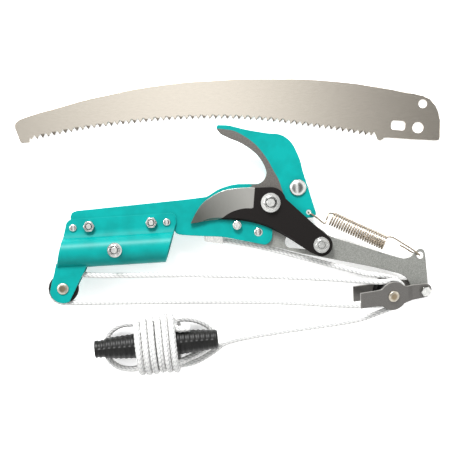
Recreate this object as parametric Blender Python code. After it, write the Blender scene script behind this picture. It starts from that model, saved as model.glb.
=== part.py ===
"""Rope-operated pruner head with a pole socket, its return spring, rope, pull handle and loose saw blade.

The head lies flat. +X runs along the pole socket towards the lever, +Z is up, and the floor is at z = 0.
Sizes are in millimetres, counted from the main pivot in x and y, and add() turns them into metres.
"""

import math

import bmesh
import bpy
from mathutils import Matrix, Vector
from mathutils.geometry import convex_hull_2d

MM = 0.001
ORIGIN = Vector((-34.128, -8.636, 0.0))  # the row's origin, under the middle of the head, handle and saw
GAP = 0.3

# heights of the layers of the head, from the floor
PLATE_MID = 19.0
PLATE_REAR, PLATE_FRONT = 17.5, 20.5
BLADE_REAR, BLADE_FRONT = 21.3, 24.8
LEVER_REAR, LEVER_FRONT = 14.0, 17.0

# joint axes and fasteners, all of them upright
MAIN_PIVOT = (0.0, 0.0)
DRIVE_PIN = (43.0, -40.6)
LEVER_PIVOT = (-12.5, -25.6)
STOP_PIN = (-31.3, -18.4)
SAW_BOLT = (25.2, 12.1)
FRAME_SPRING_HOLE = (33.8, -10.6)
LEVER_SPRING_HOLE = (131.8, -55.4)
GUIDE_PULLEY = (-190.4, -65.4)
CLAMP_BOLTS = ((-163.8, -11.3), (-107.9, -11.3))
SOCKET_RIVETS = ((-178.4, -11.6), (-94.2, -11.6))
CENTRE_BOLT = (-141.4, -33.6)

# pole socket
SOCKET_Y = -33.6
SOCKET_RADIUS = 13.0  # to the middle of the sheet
SHEET = 1.8

# pulleys and rope
PULLEY_RIM = 13.2
PULLEY_ROOT = 9.3
PULLEY_WIDTH = 7.6
AXLE_RADIUS = 3.0
ROPE_RADIUS = 2.4
ROPE_ON_PULLEY = 12.5

# lever and blade
LEVER_TRAVEL = math.radians(91)
LEVER_PER_BLADE = 1.3
BUSH_RADIUS = 5.0

# pulley block, in its own frame: axle along z at the origin, bolt towards +x
BLOCK_BOLT = (131.8, -85.4)
BLOCK_LENGTH = 31.0
BLOCK_TURN = math.radians(2)
BLOCK_TILT = math.radians(22)
TILT_AXIS = Vector((0.756, 0.654, 0.0))
LEVER_IN_TAIL = 1.5
CHEEK = 2.0
CHEEK_INSIDE = 8.4
TAIL_INSIDE = 6.5
BLOCK_PULLEY_Z = 4.1

# saw blade
SAW_THICK = 1.3
TOOTH_PITCH = 5.3
TOOTH_DEPTH = 3.9
SAW_HOLE = (139.4, 60.7)
SLOT_CENTRE = (121.5, 63.8)
SLOT_LEAN = math.radians(-8)

# pull handle
HANDLE_LEFT = Vector((-166.0, -122.0, 17.2))
HANDLE_RIGHT = Vector((-54.8, -119.4, 17.2))


def clear_scene():
    for item in list(bpy.data.objects):
        bpy.data.objects.remove(item, do_unlink=True)


def material(name, colour, roughness, metallic=0.0):
    made = bpy.data.materials.get(name)
    if made is None:
        made = bpy.data.materials.new(name)
        made.use_nodes = True
        shader = made.node_tree.nodes["Principled BSDF"]
        shader.inputs["Base Color"].default_value = (*colour, 1.0)
        shader.inputs["Roughness"].default_value = roughness
        shader.inputs["Metallic"].default_value = metallic
    return made


def empty(name, place, turned=None, parent=None):
    """An empty at a joint, at a place in millimetres."""
    made = bpy.data.objects.new(name, None)
    made.parent = parent
    made.matrix_basis = Matrix.Translation(Vector(place) * MM) @ (turned or Matrix()).to_4x4()
    bpy.context.collection.objects.link(made)
    return made


def add(name, bm, look, parent, pivot=(0.0, 0.0, 0.0), smooth=True):
    """The object of a bmesh in millimetres, whose parent stands at the pivot."""
    bmesh.ops.translate(bm, vec=-Vector(pivot), verts=bm.verts)
    bmesh.ops.scale(bm, vec=(MM, MM, MM), verts=bm.verts)
    bmesh.ops.recalc_face_normals(bm, faces=bm.faces)
    mesh = bpy.data.meshes.new(name)
    bm.to_mesh(mesh)
    bm.free()
    made = bpy.data.objects.new(name, mesh)
    made.parent = parent
    mesh.materials.append(look)
    if smooth:
        mesh.shade_smooth()
        mesh.set_sharp_from_angle(angle=math.radians(35))
    bpy.context.collection.objects.link(made)
    return made


# ---------------------------------------------------------------- outlines


def arc(centre, radius, start, end, steps):
    """Points on an arc, with angles in degrees."""
    angles = [math.radians(start + (end - start) * i / steps) for i in range(steps + 1)]
    return [(centre[0] + radius * math.cos(a), centre[1] + radius * math.sin(a)) for a in angles]


def circle(centre, radius, steps=18):
    return arc(centre, radius, 0, 360, steps)[:-1]


def spline(points, steps=3):
    """Points on a smooth curve through the given ones (Catmull-Rom), in two or three dimensions."""
    points = [Vector(p) for p in points]
    ends = [2 * points[0] - points[1]] + points + [2 * points[-1] - points[-2]]
    out = []
    for i in range(1, len(ends) - 2):
        a, b, c, d = ends[i - 1:i + 3]
        for k in range(steps):
            t = k / steps
            out.append(b + (c - a) * (t / 2) + (2 * a - 5 * b + 4 * c - d) * (t * t / 2)
                       + (3 * b - a - 3 * c + d) * (t ** 3 / 2))
    return [tuple(p) for p in out] + [tuple(points[-1])]


def rounded(corners, steps=4):
    """An outline with rounded corners. Each corner is (x, y, radius)."""
    out = []
    for i, (x, y, radius) in enumerate(corners):
        here = Vector((x, y))
        back = (Vector(corners[i - 1][:2]) - here).normalized()
        ahead = (Vector(corners[(i + 1) % len(corners)][:2]) - here).normalized()
        half = back.angle(ahead) / 2
        if radius <= 0 or half > math.radians(88):
            out.append((x, y))
            continue
        cut = radius / math.tan(half)
        middle = here + (back + ahead).normalized() * (radius / math.sin(half))
        start, end = here + back * cut - middle, here + ahead * cut - middle
        swing = start.angle_signed(end)
        for k in range(steps + 1):
            point = middle + Matrix.Rotation(-swing * k / steps, 2) @ start
            out.append(tuple(point))
    return out


# ---------------------------------------------------------------- solids


def slab(loops, low, high):
    """A flat plate: an outline and its holes, from one height to another."""
    bm = bmesh.new()
    caps = {low: [], high: []}
    for loop in loops:
        rings = {z: [bm.verts.new((x, y, z)) for x, y in loop] for z in (low, high)}
        for z, ring in rings.items():
            caps[z] += [bm.edges.new((ring[i - 1], ring[i])) for i in range(len(ring))]
        for i in range(len(loop)):
            bm.faces.new((rings[low][i - 1], rings[low][i], rings[high][i], rings[high][i - 1]))
    for edges in caps.values():
        bmesh.ops.triangle_fill(bm, use_beauty=True, edges=edges)
    return bm


def turned(profile, place=(0.0, 0.0), segments=12, bm=None):
    """A turned solid about an upright axis. A profile point is (radius, height), or (radius, height, "hex")
    for a hexagon of that half width. A profile off the axis closes on itself and leaves a bore."""
    bm = bm or bmesh.new()
    rings = []
    for point in profile:
        if point[0] == 0:
            rings.append([bm.verts.new((place[0], place[1], point[1]))])
            continue
        ring = []
        for k in range(segments):
            angle = 2 * math.pi * k / segments
            side = (angle % (math.pi / 3)) - math.pi / 6
            radius = point[0] / math.cos(side) if len(point) > 2 else point[0]
            ring.append(bm.verts.new((place[0] + radius * math.cos(angle),
                                      place[1] + radius * math.sin(angle), point[1])))
        rings.append(ring)
    bored = len(rings[0]) > 1
    for i in range(0 if bored else 1, len(rings)):
        a, b = rings[i - 1], rings[i]
        for k in range(segments):
            n = (k + 1) % segments
            corners = [a[k % len(a)], a[n % len(a)], b[n % len(b)], b[k % len(b)]]
            bm.faces.new(list(dict.fromkeys(corners)))
    return bm


def bolt(place, shank, low, high, head, up=True):
    """A bolt from low to high. head is (radius, height, kind) and sits at the top, or at the bottom."""
    radius, height, kind = head
    tag = ("hex",) if kind == "hex" else ()
    seat = high - height if up else low + height
    end = high if up else low
    rim = seat + (end - seat) * (0.35 if kind == "dome" else 0.8)
    crown = [(radius, seat, *tag), (radius, rim, *tag)]
    if kind == "dome":
        crown += [(radius * 0.85, seat + (end - seat) * 0.72), (radius * 0.5, seat + (end - seat) * 0.95)]
    else:
        crown += [(radius * 0.86, end)]
    other = low if up else high
    lead = 0.6 if up else -0.6
    profile = [(0, other), (shank - 0.5, other), (shank, other + lead), (shank, seat)] + crown + [(0, end)]
    return turned(profile, place)


def nut(place, half_width, bore, low, high, flange=0.0):
    """A hexagon nut, with a round flange under it if one is given."""
    lean = min(1.0, (high - low) * 0.2)
    foot = [(flange, low), (flange, low + 1.1), (half_width, low + 1.9, "hex")] if flange else \
        [(half_width * 0.9, low), (half_width, low + lean, "hex")]
    crown = [(half_width, high - lean, "hex"), (half_width * 0.9, high), (bore, high)]
    return turned([(bore, low)] + foot + crown, place)


def washer(place, radius, bore, low, high):
    return turned([(bore, low), (radius, low), (radius, high), (bore, high)], place)


def cut(target, operation, tool):
    """Joins a tool to a solid, or cuts it out, and hides the tool."""
    change = target.modifiers.new(operation.lower(), "BOOLEAN")
    change.operation = operation
    change.solver = "EXACT"
    change.object = tool
    tool.hide_render = True
    tool.display_type = "WIRE"


def tube(name, points, radius, look, parent, pivot=(0.0, 0.0, 0.0), sides=2):
    """A round rope or wire along points, as a bevelled curve with filled caps."""
    curve = bpy.data.curves.new(name, "CURVE")
    curve.dimensions = "3D"
    curve.bevel_depth = radius * MM
    curve.bevel_resolution = sides
    curve.use_fill_caps = True
    curve.materials.append(look)
    line = curve.splines.new("POLY")
    line.points.add(len(points) - 1)
    for spot, point in zip(line.points, points):
        spot.co = (*((Vector(point) - Vector(pivot)) * MM), 1.0)
    made = bpy.data.objects.new(name, curve)
    made.parent = parent
    bpy.context.collection.objects.link(made)
    return made


# ---------------------------------------------------------------- hook plate and its fasteners


def hook_plate(head, look):
    hook_inside = spline([(-11.6, 17.9), (-9.0, 18.4), (-4.6, 21.2), (-2.1, 26.8), (-3.3, 33.3),
                          (-7.7, 41.7), (-14.5, 48.9), (-23.7, 55.5), (-33.1, 60.1), (-40.9, 64.4)], 2)
    hook_outside = spline([(-42.0, 72.8), (-32.4, 71.6), (-18.2, 67.2), (0.8, 62.8), (11.3, 61.2),
                           (18.6, 56.9), (24.0, 49.8), (28.9, 36.8), (30.6, 27.0)], 2)
    lobe = arc((-8.4, -29.2), 8.2, -10, -85, 4)
    outline = spline([(-187.0, -19.6), (-184.6, -9.8), (-183.2, -6.4), (-180.7, -4.4), (-180.3, -1.2),
                      (-178.4, 2.2), (-174.1, 3.7)], 2) + [(-81.1, 7.5), (-59.0, 8.9)]
    outline += spline([(-56.0, 9.6), (-46.4, 14.8), (-36.8, 17.7), (-28.4, 18.8)], 2) + hook_inside
    outline += [(-44.0, 68.6), (-44.3, 71.0), (-43.4, 72.6)] + hook_outside
    outline += arc((36.3, -11.6), 4.0, 20, -85, 4) + [(20.0, -15.6), (7.0, -17.4), (0.6, -22.0)] + lobe
    outline += [(-27.3, -32.4), (-45.0, -28.0), (-64.0, -26.0), (-83.5, -23.4), (-88.0, -19.6)]
    holes = [circle(MAIN_PIVOT, 4.3), circle(LEVER_PIVOT, 4.0), circle(STOP_PIN, 3.2, 16),
             circle(SAW_BOLT, 3.3, 16), circle(FRAME_SPRING_HOLE, 2.3, 16)]
    holes += [circle(p, 2.9, 16) for p in CLAMP_BOLTS] + [circle(p, 2.3, 12) for p in SOCKET_RIVETS]
    add("hook_plate", slab([outline] + holes, PLATE_REAR, PLATE_FRONT), look, head)


def socket_shell(name, side, head, look):
    """Half of the pole socket: a flange on the plate, half a tube, and an ear for the guide pulley.
    side is 1 in front of the plate and -1 behind it."""
    flange = PLATE_FRONT - PLATE_MID + GAP + SHEET / 2
    bend = math.degrees(math.asin(flange / SOCKET_RADIUS))
    middle = [(y, flange) for y in (-3.7, -4.6, -6.0, -8.5, -15.5)]
    middle += arc((SOCKET_Y, 0.0), SOCKET_RADIUS, bend, 178, 16)
    bm, rings = bmesh.new(), []
    for i, (y, z) in enumerate(middle):
        before, after = Vector(middle[max(i - 1, 0)]), Vector(middle[min(i + 1, len(middle) - 1)])
        along = (after - before).normalized()
        normal = Vector((-along.y, along.x)) * (-SHEET / 2)
        corner = 4.8 - math.sqrt(max(4.8 ** 2 - max(0.0, 4.8 - (-3.7 - y)) ** 2, 0.0))
        left = -184.3 + (y + 6.6) * 0.267 + corner
        right = -85.6 + min(0.0, y + 12.8) * 0.341 - corner
        outer, inner = Vector((y, z)) + normal, Vector((y, z)) - normal
        spots = [(left, outer), (right, outer), (right, inner), (left, inner)]
        rings.append([bm.verts.new((x, p.x, PLATE_MID + side * p.y)) for x, p in spots])
    for a, b in zip(rings, rings[1:]):
        for k in range(4):
            bm.faces.new((a[k - 1], a[k], b[k], b[k - 1]))
    bm.faces.new(rings[0])
    bm.faces.new(rings[-1])
    shell = add(name, bm, look, head)

    ear = [(-194.4, -44.9), (-168.5, -44.9), (-170.6, -51.5), (-177.4, -63.2), (-180.6, -69.1)]
    ear += arc((-190.2, -66.4), 12.0, -66, -174, 8) + [(-200.2, -60.0), (-197.4, -51.0)]
    low, high = PLATE_MID + side * 4.7, PLATE_MID + side * 6.5
    lug = add(name + "_ear_tool", slab([ear], min(low, high), max(low, high)), look, head, smooth=False)
    cut(shell, "UNION", lug)
    holes = bmesh.new()
    for place, radius in [(p, 2.9) for p in CLAMP_BOLTS] + [(p, 2.3) for p in SOCKET_RIVETS] + \
            [(CENTRE_BOLT, 3.3), (GUIDE_PULLEY, AXLE_RADIUS + 0.1)]:
        ends = sorted((PLATE_MID + side * 0.5, PLATE_MID + side * 20))
        turned([(0, ends[0]), (radius, ends[0]), (radius, ends[1]), (0, ends[1])], place, bm=holes)
    drill = add(name + "_hole_tool", holes, look, head, smooth=False)
    cut(shell, "DIFFERENCE", drill)


def socket_fasteners(head, zinc, steel):
    top, bottom = PLATE_FRONT + 2 * GAP + SHEET, PLATE_REAR - 2 * GAP - SHEET
    for side, place in zip(("left", "right"), SOCKET_RIVETS):
        profile = [(0, bottom - 1.5), (2.6, bottom - 1.4), (3.3, bottom - 0.6), (3.3, bottom), (2.1, bottom),
                   (2.1, top), (3.3, top), (3.3, top + 0.6), (2.6, top + 1.4), (0, top + 1.5)]
        add(f"socket_rivet_{side}", turned(profile, place, 20), zinc, head)
    for side, place in zip(("left", "right"), CLAMP_BOLTS):
        shank = bolt(place, 2.5, bottom - 3.4, top + 6.0, (4.5, 3.4, "hex"), up=False)
        add(f"clamp_bolt_{side}", shank, zinc, head)
        add(f"clamp_nut_{side}", nut(place, 4.5, 2.6, top, top + 4.2), zinc, head)
    front = PLATE_MID + SOCKET_RADIUS + SHEET / 2 + GAP
    rear = 2 * PLATE_MID - front
    add("centre_bolt", bolt(CENTRE_BOLT, 3.0, 0.0, front + 6.4, (5.0, rear, "hex"), up=False), zinc, head)
    add("centre_nut", nut(CENTRE_BOLT, 5.0, 3.1, front, front + 4.8, flange=6.6), zinc, head)
    low, high = PLATE_MID - 6.5 - GAP, PLATE_MID + 6.5 + GAP
    profile = [(0, low - 1.6), (4.0, low - 1.6), (5.1, low - 0.9), (5.1, low), (AXLE_RADIUS, low),
               (AXLE_RADIUS, high), (5.1, high), (5.1, high + 0.9), (4.0, high + 1.6), (0, high + 1.6)]
    add("guide_pulley_axle", turned(profile, GUIDE_PULLEY), steel, head)


def pulley(name, parent, place, look):
    """A grooved wheel with a bore, about an upright axis through place, which is also its parent's."""
    half = PULLEY_WIDTH / 2
    rim = PULLEY_RIM
    groove = [(rim, half - 0.4), (rim - 1.6, 2.8), (PULLEY_ROOT, 1.4)]
    profile = [(AXLE_RADIUS + 0.1, half), (5.6, half), (6.2, half - 0.7), (rim - 1.6, half - 0.7)] + groove
    profile += [(r, -z) for r, z in profile[::-1]]
    add(name, turned([(r, z + place[2]) for r, z in profile], place[:2], 24), look, parent, pivot=place)


def pivots(head, zinc, steel):
    add("main_pivot_bolt", bolt(MAIN_PIVOT, 4.0, PLATE_REAR - GAP - 4.6, 31.4, (7.4, 4.6, "dome"), up=False),
        zinc, head)
    add("main_pivot_nut", nut(MAIN_PIVOT, 5.9, 4.1, BLADE_FRONT + GAP, 30.6, flange=8.8), zinc, head)
    rear = LEVER_REAR - GAP
    profile = [(0, rear - 2.2), (4.6, rear - 2.0), (6.4, rear - 1.0), (6.4, rear), (3.8, rear), (3.8, 20.6),
               (3.5, 20.9), (0, 20.9)]
    add("lever_pivot_rivet", turned(profile, LEVER_PIVOT), steel, head)
    low = PLATE_REAR - GAP
    profile = [(0, low - 2.0), (5.2, low - 1.8), (5.2, low), (3.0, low), (3.0, PLATE_FRONT + GAP),
               (4.0, PLATE_FRONT + GAP), (4.0, 24.2), (3.4, 24.8), (0, 24.8)]
    add("stop_pin", turned(profile, STOP_PIN), steel, head)


def saw_mount(head, zinc):
    """The carriage bolt, washer and wing nut that hold the saw blade on a pole."""
    high = PLATE_FRONT + GAP + 3.4
    add("saw_mount_bolt", bolt(SAW_BOLT, 3.0, 0.4, high, (7.6, 3.4, "dome")), zinc, head)
    top = PLATE_REAR - GAP
    add("saw_mount_washer", washer(SAW_BOLT, 8.6, 3.2, top - 1.3, top), zinc, head)
    top -= 1.3 + GAP
    profile = [(3.1, top), (6.2, top), (6.2, top - 1.0), (5.0, top - 7.6), (3.1, top - 7.6)]
    hub = add("saw_mount_wing_nut", turned(profile, SAW_BOLT), zinc, head)
    for side in (-1, 1):
        wing = rounded([(side * 4.4, -1.6, 0), (side * 8.6, -2.4, 1.5), (side * 14.5, -9.0, 3.0),
                        (side * 12.0, -12.0, 2.0), (side * 4.4, -6.6, 0)])
        bm = slab([wing], -1.1, 1.1)
        lean = Matrix.Rotation(math.radians(35), 3, "Z") @ Matrix.Rotation(math.pi / 2, 3, "X")
        bmesh.ops.rotate(bm, cent=(0, 0, 0), matrix=lean, verts=bm.verts)
        bmesh.ops.translate(bm, vec=(*SAW_BOLT, top), verts=bm.verts)
        cut(hub, "UNION", add(f"wing_tool_{side}", bm, zinc, head, smooth=False))


def rope_anchor(head, zinc):
    """A welded tab behind the plate with a ferrule that the rope's end is crimped in."""
    tab = rounded([(-61.0, -16.5, 3), (-61.0, -31.0, 2), (-44.5, -34.0, 2), (-44.5, -16.5, 3)])
    anchor = add("rope_anchor", slab([tab], 14.8, 17.2), zinc, head)
    length, wall = 17.0, ROPE_RADIUS + GAP
    ferrule = turned([(wall, 0), (wall + 1.4, 0), (wall + 1.4, length), (wall, length)])
    lead = Vector(ROPE_LEAD[1]) - Vector(ROPE_LEAD[0])
    lie = Vector((0, 0, 1)).rotation_difference(lead).to_matrix()
    bmesh.ops.rotate(ferrule, cent=(0, 0, 0), matrix=lie, verts=ferrule.verts)
    bmesh.ops.translate(ferrule, vec=ROPE_LEAD[0], verts=ferrule.verts)
    cut(anchor, "UNION", add("ferrule_tool", ferrule, zinc, head, smooth=False))


# ---------------------------------------------------------------- cutting blade and lever


def cutting_blade(parent, black, zinc):
    edge = spline([(-72.8, -14.2), (-67.4, -4.9), (-60.5, 3.6), (-51.3, 9.4), (-42.1, 13.3), (-32.4, 14.7),
                   (-22.7, 14.9), (-13.4, 14.3)], 2)
    under = spline([(33.0, -46.6), (25.7, -41.3), (11.4, -31.0), (-2.5, -22.6), (-13.5, -17.9),
                    (-24.5, -14.9), (-34.1, -13.4), (-49.0, -12.1), (-61.5, -12.9)], 2)
    outline = edge + arc(MAIN_PIVOT, 14.0, 92, 12, 6) + [(33.0, -17.0)]
    outline += arc(DRIVE_PIN, 10.1, 44, -110, 10) + under
    holes = [circle(MAIN_PIVOT, 4.3), circle(DRIVE_PIN, 3.3, 16)]
    add("cutting_blade", slab([outline] + holes, BLADE_REAR, BLADE_FRONT), black, parent)
    top = BLADE_FRONT + GAP
    add("drive_washer", washer(DRIVE_PIN, 7.2, 3.2, top, top + 1.2), zinc, parent)
    head = top + 1.2 + GAP
    add("drive_bolt", bolt(DRIVE_PIN, 3.0, 6.4, head + 3.8, (5.0, 3.8, "hex")), zinc, parent)
    rear = LEVER_REAR - 0.5
    add("drive_bush", washer(DRIVE_PIN, BUSH_RADIUS, 3.2, rear, BLADE_REAR - GAP), zinc, parent)
    add("drive_rear_washer", washer(DRIVE_PIN, 7.5, 3.2, rear - GAP - 1.3, rear - GAP), zinc, parent)
    low = rear - 2 * GAP - 1.3
    add("drive_nut", nut(DRIVE_PIN, 5.0, 3.1, low - 4.8, low), zinc, parent)


def pin_in_lever(share):
    """Where the drive pin stands in the resting lever when the lever has made that share of its travel."""
    swing = LEVER_TRAVEL * share
    pivot = Vector(LEVER_PIVOT)
    pin = Matrix.Rotation(-swing / LEVER_PER_BLADE, 2) @ Vector(DRIVE_PIN)
    return pivot + Matrix.Rotation(swing, 2) @ (pin - pivot)


def lever_plate(parent, look):
    lower = spline([(-5.5, -38.5), (5.7, -41.2), (25.2, -47.3), (46.5, -52.6), (67.7, -58.0), (87.7, -63.3),
                    (101.9, -67.5), (111.9, -70.9), (116.4, -73.3), (119.1, -76.4), (121.4, -80.5)], 2)
    upper = spline([(137.3, -82.5), (136.8, -56.0), (135.6, -51.2), (132.2, -49.3), (128.9, -50.8),
                    (125.6, -53.7), (122.9, -56.0), (117.8, -57.2), (113.4, -56.4), (94.8, -49.9),
                    (76.3, -42.7), (52.7, -33.5)], 2)
    hidden = [(45.5, -27.5), (36.0, -21.6), (26.0, -18.6), (12.0, -17.5), (0.0, -16.0)]
    outline = lower + arc((126.4, -88.4), 5.0, 180, 270, 4) + arc((132.3, -88.4), 5.0, 270, 360, 4)[1:]
    outline += upper + hidden + arc(LEVER_PIVOT, 11.5, 65, 270, 12)
    swept = []
    for k in range(9):
        swept += [Vector(p) for p in circle(pin_in_lever(k / 8), BUSH_RADIUS + 0.5, 24)]
    window = [tuple(swept[i]) for i in convex_hull_2d(swept)]
    holes = [window, circle(LEVER_PIVOT, 3.95), circle(LEVER_SPRING_HOLE, 3.0, 16),
             circle(BLOCK_BOLT, 3.6, 20)]
    add("lever_plate", slab([outline] + holes, LEVER_REAR, LEVER_FRONT), look, parent,
        pivot=(*LEVER_PIVOT, 0.0))


# ---------------------------------------------------------------- pulley block


def block_place():
    """The block's own frame in the head: leaning a little and hooked loosely on the lever."""
    lean = Matrix.Rotation(BLOCK_TILT, 3, TILT_AXIS) @ Matrix.Rotation(BLOCK_TURN, 3, "Z")
    bolt_at = Vector((*BLOCK_BOLT, (LEVER_REAR + LEVER_FRONT) / 2))
    centre = bolt_at - lean @ Vector((BLOCK_LENGTH, 0.0, LEVER_IN_TAIL))
    return centre, lean


def cheek(name, side, block, look):
    """One cheek plate: a wide tongue, a round about the axle, and a tail bent in to the lever."""
    bm = bmesh.new()
    top = [(-31.0, 7.2), (-11.0, 7.4)] + arc((0, 0), 13.2, 144, 36, 8) + [(13.6, 7.4), (20.0, 7.0)]
    top += [(28.0, 6.6)] + arc((BLOCK_LENGTH, 0), 6.6, 75, 0, 4)
    bend = TAIL_INSIDE + CHEEK / 2
    flat = CHEEK_INSIDE + CHEEK / 2
    rings = []
    for x, y in top:
        share = min(1.0, max(0.0, (x - 13.0) / 7.0))
        z = flat + (bend - flat) * share
        half = max(y, 0.01)
        spots = [(x, half, z - CHEEK / 2), (x, half, z + CHEEK / 2), (x, -half, z + CHEEK / 2),
                 (x, -half, z - CHEEK / 2)]
        rings.append([bm.verts.new((a, b, side * c)) for a, b, c in spots])
    for a, b in zip(rings, rings[1:]):
        for k in range(4):
            bm.faces.new((a[k - 1], a[k], b[k], b[k - 1]))
    bm.faces.new(rings[0])
    bm.faces.new(rings[-1])
    plate = add(name, bm, look, block)
    drill = bmesh.new()
    for x, radius in ((0.0, AXLE_RADIUS + 0.1), (BLOCK_LENGTH, 2.7)):
        turned([(0, 1.0), (radius, 1.0), (radius, 14.0), (0, 14.0)], (x, 0.0), 20, drill)
    if side < 0:
        bmesh.ops.rotate(drill, cent=(0, 0, 0), matrix=Matrix.Rotation(math.pi, 3, "X"), verts=drill.verts)
    cut(plate, "DIFFERENCE", add(name + "_hole_tool", drill, look, block, smooth=False))


def pulley_block(block, dark, steel, zinc, black):
    cheek("block_front_cheek", 1, block, dark)
    cheek("block_rear_cheek", -1, block, dark)
    end = CHEEK_INSIDE + CHEEK + GAP
    profile = [(0, -end - 1.5), (4.2, -end - 1.5), (5.0, -end - 0.8), (5.0, -end), (AXLE_RADIUS, -end),
               (AXLE_RADIUS, end), (5.0, end), (5.0, end + 0.8), (4.2, end + 1.5), (0, end + 1.5)]
    add("block_axle", turned(profile), steel, block)
    tail = TAIL_INSIDE + CHEEK + GAP
    place = (BLOCK_LENGTH, 0.0)
    add("block_bolt", bolt(place, 2.5, -tail - 4.6, tail + 3.2, (4.2, 3.2, "hex")), zinc, block)
    add("block_nut", nut(place, 4.0, 2.6, -tail - 3.8, -tail), zinc, block)
    for name, z in (("block_front_pulley", BLOCK_PULLEY_Z), ("block_rear_pulley", -BLOCK_PULLEY_Z)):
        spin = empty(name + "_axis", (0, 0, z), parent=block)
        pulley(name, spin, (0.0, 0.0, 0.0), black)


# ---------------------------------------------------------------- spring


def return_spring(link, tip, steel):
    start, end = Vector((53.5, -17.2, 19.6)), Vector((101.1, -42.7, 17.6))
    axis = (end - start).normalized()
    up = Vector((0, 0, 1)).cross(axis).normalized()
    over = axis.cross(up)
    radius, turns, per_turn = 6.1, 23, 6
    coil = []
    for k in range(turns * per_turn + 1):
        angle = 2 * math.pi * k / per_turn
        at = start + (end - start) * (k / (turns * per_turn))
        coil.append(tuple(at + up * (radius * math.cos(angle)) + over * (radius * math.sin(angle))))
    hook = [(35.4, -12.0, 14.8), (33.8, -10.9, 15.4), (33.7, -10.7, 19.0), (34.5, -11.4, 22.0),
            (37.6, -13.6, 22.6), (41.1, -16.4, 22.4), (46.6, -21.4, 22.0), (49.2, -18.6, 20.6),
            (52.6, -14.2, 20.0)]
    pivot = (*FRAME_SPRING_HOLE, 0.0)
    tube("return_spring", hook + coil, 0.8, steel, link, pivot, sides=0)
    onward = (Vector(coil[-1]) - Vector(coil[-2])).normalized()
    tail = [tuple(Vector(coil[-1]) + onward * 1.6), (109.0, -38.5, 18.6), (118.1, -44.9, 18.6),
            (124.2, -49.2, 18.6), (130.4, -54.4, 18.8), (131.9, -55.5, 15.5), (130.6, -54.8, 12.4),
            (124.6, -52.0, 12.6), (119.8, -48.6, 13.6), (114.3, -45.3, 15.0)]
    tube("spring_lever_hook", spline(tail, 2), 0.8, steel, tip, (*LEVER_SPRING_HOLE, 0.0), sides=0)


# ---------------------------------------------------------------- rope and handle

ROPE_LEAD = ((-61.0, -27.2, 11.2), (-43.5, -31.2, 11.2))
LEAD_RUN = ((-31.4, -34.0, 11.2), (-8.5, -39.8, 11.2), (19.7, -48.9, 11.4), (55.0, -60.5, 12.6),
            (80.0, -68.6, 14.2))
LOWER_RUN = ((60.0, -96.4, 15.5), (0.0, -89.6, 15.6), (-70.0, -84.6, 16.5), (-130.0, -81.4, 18.0))
UPPER_RUN = ((-150.0, -56.2, 19.0), (-90.0, -59.4, 18.8), (-20.0, -64.9, 20.2), (45.0, -71.0, 25.0))
PULL_RUN = ((72.0, -110.0, 17.0), (40.0, -114.0, 10.0), (5.0, -117.2, 5.4), (-25.0, -120.4, 3.2),
            (-48.0, -124.6, 2.9), (-60.0, -132.0, 3.0), (-75.0, -140.6, 5.0), (-88.6, -145.0, 8.0))
ROPE_STEP = 13.0


def wrap(centre, lean, height, start, end, steps=6):
    """Rope points clockwise round a pulley, with angles in degrees, and the points on the straight runs a
    rim's width before and after it."""
    flat = arc((0, 0), ROPE_ON_PULLEY, start, end, steps)
    a, b = math.radians(start), math.radians(end)
    before = (flat[0][0] - PULLEY_RIM * math.sin(a), flat[0][1] + PULLEY_RIM * math.cos(a))
    after = (flat[-1][0] + PULLEY_RIM * math.sin(b), flat[-1][1] - PULLEY_RIM * math.cos(b))
    placed = [tuple(centre + lean @ Vector((x, y, height))) for x, y in [before] + flat + [after]]
    return placed[0], placed[1:-1], placed[-1]


def thin(points, step):
    """The points left when only every so many millimetres one is kept, with the first and last two."""
    points = [Vector(p) for p in points]
    out = points[:2]
    for point in points[2:-2]:
        if (point - out[-1]).length >= step and (point - points[-2]).length >= step / 2:
            out.append(point)
    return out + points[-2:]


def rope(parents, look):
    """The rope's route from its anchor to the handle, cut where one link of the mechanism hands it on."""
    centre, lean = block_place()
    guide = Vector((*GUIDE_PULLEY, PLATE_MID))
    to_rear, rear, off_rear = wrap(centre, lean, -BLOCK_PULLEY_Z, 70, -95)
    to_guide, around, off_guide = wrap(guide, Matrix.Identity(3), 0.0, 266, 87)
    to_front, front, off_front = wrap(centre, lean, BLOCK_PULLEY_Z, 86, -76)
    sections = [
        ("rope_lead_run", [*ROPE_LEAD, *LEAD_RUN, to_rear], "lead", ROPE_STEP),
        ("rope_rear_turn", rear, "block", 3.0),
        ("rope_lower_run", [off_rear, *LOWER_RUN, to_guide], "span", ROPE_STEP),
        ("rope_guide_turn", around, "head", 3.0),
        ("rope_upper_run", [off_guide, *UPPER_RUN, to_front], "span", ROPE_STEP),
        ("rope_front_turn", front, "block", 3.0),
        ("rope_pull_run", [off_front, *PULL_RUN], "pull", ROPE_STEP)]
    route, owners = [], []
    for number, (_, points, _, _) in enumerate(sections):
        route += [tuple(p) for p in points]
        owners += [number] * len(points)
    fine = spline(route, 8)
    for number, (name, _, link, step) in enumerate(sections):
        first = owners.index(number)
        last = len(owners) - 1 - owners[::-1].index(number)
        if "turn" not in name:
            first, last = max(first - 1, 0), min(last + 1, len(route) - 1)
        piece = [Vector(p) for p in fine[first * 8:last * 8 + 1]]
        if number:
            piece[0] += (piece[1] - piece[0]).normalized() * (GAP / 2)
        piece[-1] += (piece[-2] - piece[-1]).normalized() * (GAP / 2)
        parent, pivot = parents[link]
        points = thin(piece, step)
        if link == "block":
            turn = parent.matrix_basis.to_3x3().inverted()
            points = [turn @ (p - Vector(pivot)) for p in points]
            pivot = (0, 0, 0)
        tube(name, points, ROPE_RADIUS, look, parent, pivot)


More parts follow.
